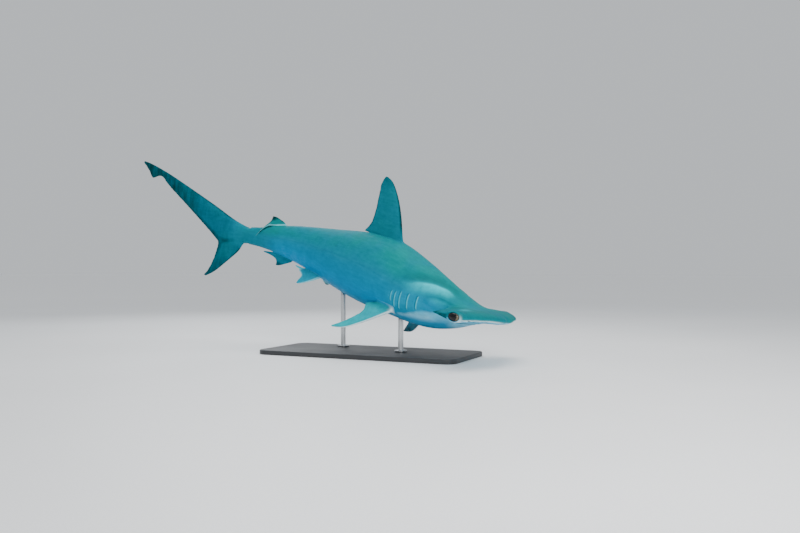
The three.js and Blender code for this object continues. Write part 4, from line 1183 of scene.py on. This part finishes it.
def make_eye(side, material):
    points, gaze = [], []
    for i in range(EYE_DEEP + 1):
        polar = math.pi * (i + EYE_END) / (EYE_DEEP + 2 * EYE_END)
        right = EYE_RIGHT + EYE["deep"] * math.cos(polar)
        for j in range(EYE_ROUND):
            about = 2 * math.pi * j / EYE_ROUND
            along = EYE["long"] * math.sin(polar) * math.cos(about)
            up = EYE["high"] * math.sin(polar) * math.sin(about)
            points.append((EYE_STATION + along, side * right, EYE_UP + up))
            reach = math.hypot(along - PUPIL_BACK, up) / PUPIL_REACH
            gaze.append((reach if polar < math.pi / 2 else 2, math.cos(about), math.sin(about)))
    word = "right" if side > 0 else "left"
    piece = lofted("eyeball_" + word, place(points), EYE_ROUND, material, side > 0)
    keep(piece.data, "gaze", gaze)
    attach(piece, "root")
    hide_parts("eye_" + word)


eye_finish = eye_material()
make_eye(1, eye_finish)
make_eye(-1, eye_finish)

# Stand: a flat base with rounded corners and edges, and two rods with feet.
BASE_CORNER = 0.06
BASE_EDGE = 0.005
BASE_BEVEL = 0.001
BASE_TOP_INSET = 0.03
CORNER_STEPS = 16
FOOT_RADIUS = 0.034
FOOT_HIGH = 0.01
FOOT_BEVEL = 0.0005
FOOT_EDGE = 0.002
ROD_RADIUS = 0.014
ROD_FILLET = 0.004
ROD_SUNK = 0.003
ROD_STEPS = 8
ROD_ROUND = 64
EDGE_STEPS = 6


def quarter_round(radius):
    return [(radius * (1 - math.cos(a)), radius * (1 - math.sin(a)))
            for a in (math.pi / 2 * i / EDGE_STEPS for i in range(EDGE_STEPS + 1))]


def make_base():
    low, high, middle = box_of("stand_base")
    half = (high - low) / 2 - BASE_CORNER
    rows = [(BASE_BEVEL, low[2]), (0, low[2] + BASE_BEVEL)]
    rows += [(inset, high[2] - down) for inset, down in quarter_round(BASE_EDGE)]
    rows += [(BASE_TOP_INSET, high[2])]
    points = []
    for inset, height in rows:
        radius = BASE_CORNER - inset
        for corner, (x, y) in enumerate(((1, 1), (-1, 1), (-1, -1), (1, -1))):
            for i in range(CORNER_STEPS + 1):
                about = math.pi / 2 * (corner + i / CORNER_STEPS)
                points.append((middle[0] + x * half[0] + radius * math.cos(about),
                               middle[1] + y * half[1] + radius * math.sin(about), height))
    piece = lofted("display_base", points, 4 * (CORNER_STEPS + 1), stand_material())
    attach(piece, "root")
    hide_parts("stand_base")


def make_rod(node, name, material):
    low, high, (x, y, _) = box_of(node)
    foot_top = low[2] + FOOT_HIGH
    profile = [(FOOT_RADIUS - FOOT_BEVEL, low[2]), (FOOT_RADIUS, low[2] + FOOT_BEVEL)]
    profile += [(FOOT_RADIUS - inset, foot_top - down) for inset, down in quarter_round(FOOT_EDGE)]
    profile += [(ROD_RADIUS + inset, foot_top + down) for inset, down in quarter_round(ROD_FILLET)[::-1]]
    for i in range(1, ROD_STEPS + 1):
        profile.append((ROD_RADIUS, mix(foot_top + ROD_FILLET, high[2] + ROD_SUNK, i / ROD_STEPS)))
    turns = [2 * math.pi * i / ROD_ROUND for i in range(ROD_ROUND)]
    points = [(x + r * math.cos(a), y + r * math.sin(a), z) for r, z in profile for a in turns]
    piece = lofted(name, points, ROD_ROUND, material)
    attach(piece, "root")
    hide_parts(node)


make_base()
steel = steel_material()
make_rod("stand_rod_front", "front_rod", steel)
make_rod("stand_rod_rear", "rear_rod", steel)

FLOOR_HALF = 40


def make_floor():
    corners = [(x * FLOOR_HALF, y * FLOOR_HALF, 0) for x, y in ((-1, -1), (1, -1), (1, 1), (-1, 1))]
    floor = new_piece("floor", new_mesh("floor", corners, [(0, 1, 2, 3)]), floor_material())


make_floor()

# Camera: level, looking at the animal's right side from a little ahead.
VIEW_AZIMUTH = 24.9
VIEW_DISTANCE = 4.292
VIEW_ACROSS = 0.047
VIEW_ABOVE = 0.057
LENS = 36
SENSOR = 36


def make_camera():
    c, s = cos_sin(VIEW_AZIMUTH)
    across, away = np.array([[c, s, 0], [-s, c, 0]])
    camera = new_object("camera", bpy.data.cameras.new("camera"))
    camera.data.lens = LENS
    camera.data.sensor_width = SENSOR
    camera.location = HELD + VIEW_ACROSS * across - VIEW_DISTANCE * away + (0, 0, VIEW_ABOVE)
    camera.rotation_euler = (math.radians(90), 0, math.radians(VIEW_AZIMUTH))
    bpy.context.scene.camera = camera


make_camera()


def softbox(name, offset, size, watts, colour=(1, 1, 1)):
    """A square lamp that looks at the held point."""
    lamp = bpy.data.lights.new(name, "AREA")
    lamp.shape = "SQUARE"
    lamp.size = size
    lamp.energy = watts
    lamp.color = colour
    light = new_object(name, lamp)
    light.location = HELD + offset
    light.rotation_euler = (Vector(HELD) - light.location).to_track_quat("-Z", "Y").to_euler()


def make_lights():
    world = bpy.data.worlds.new("studio")
    bpy.context.scene.world = world
    world.use_nodes = True
    background = world.node_tree.nodes["Background"].inputs
    background["Color"].default_value = (0.88, 0.92, 0.96, 1)
    background["Strength"].default_value = 0.7
    softbox("overhead", (0.3, 0.2, 3.2), 2.8, 98, (1, 0.99, 0.97))
    softbox("front", (2.5, -2.8, 1.5), 1.6, 85)
    softbox("rear", (-2.6, 2.2, 2), 1.8, 40, (0.92, 0.96, 1))


make_lights()
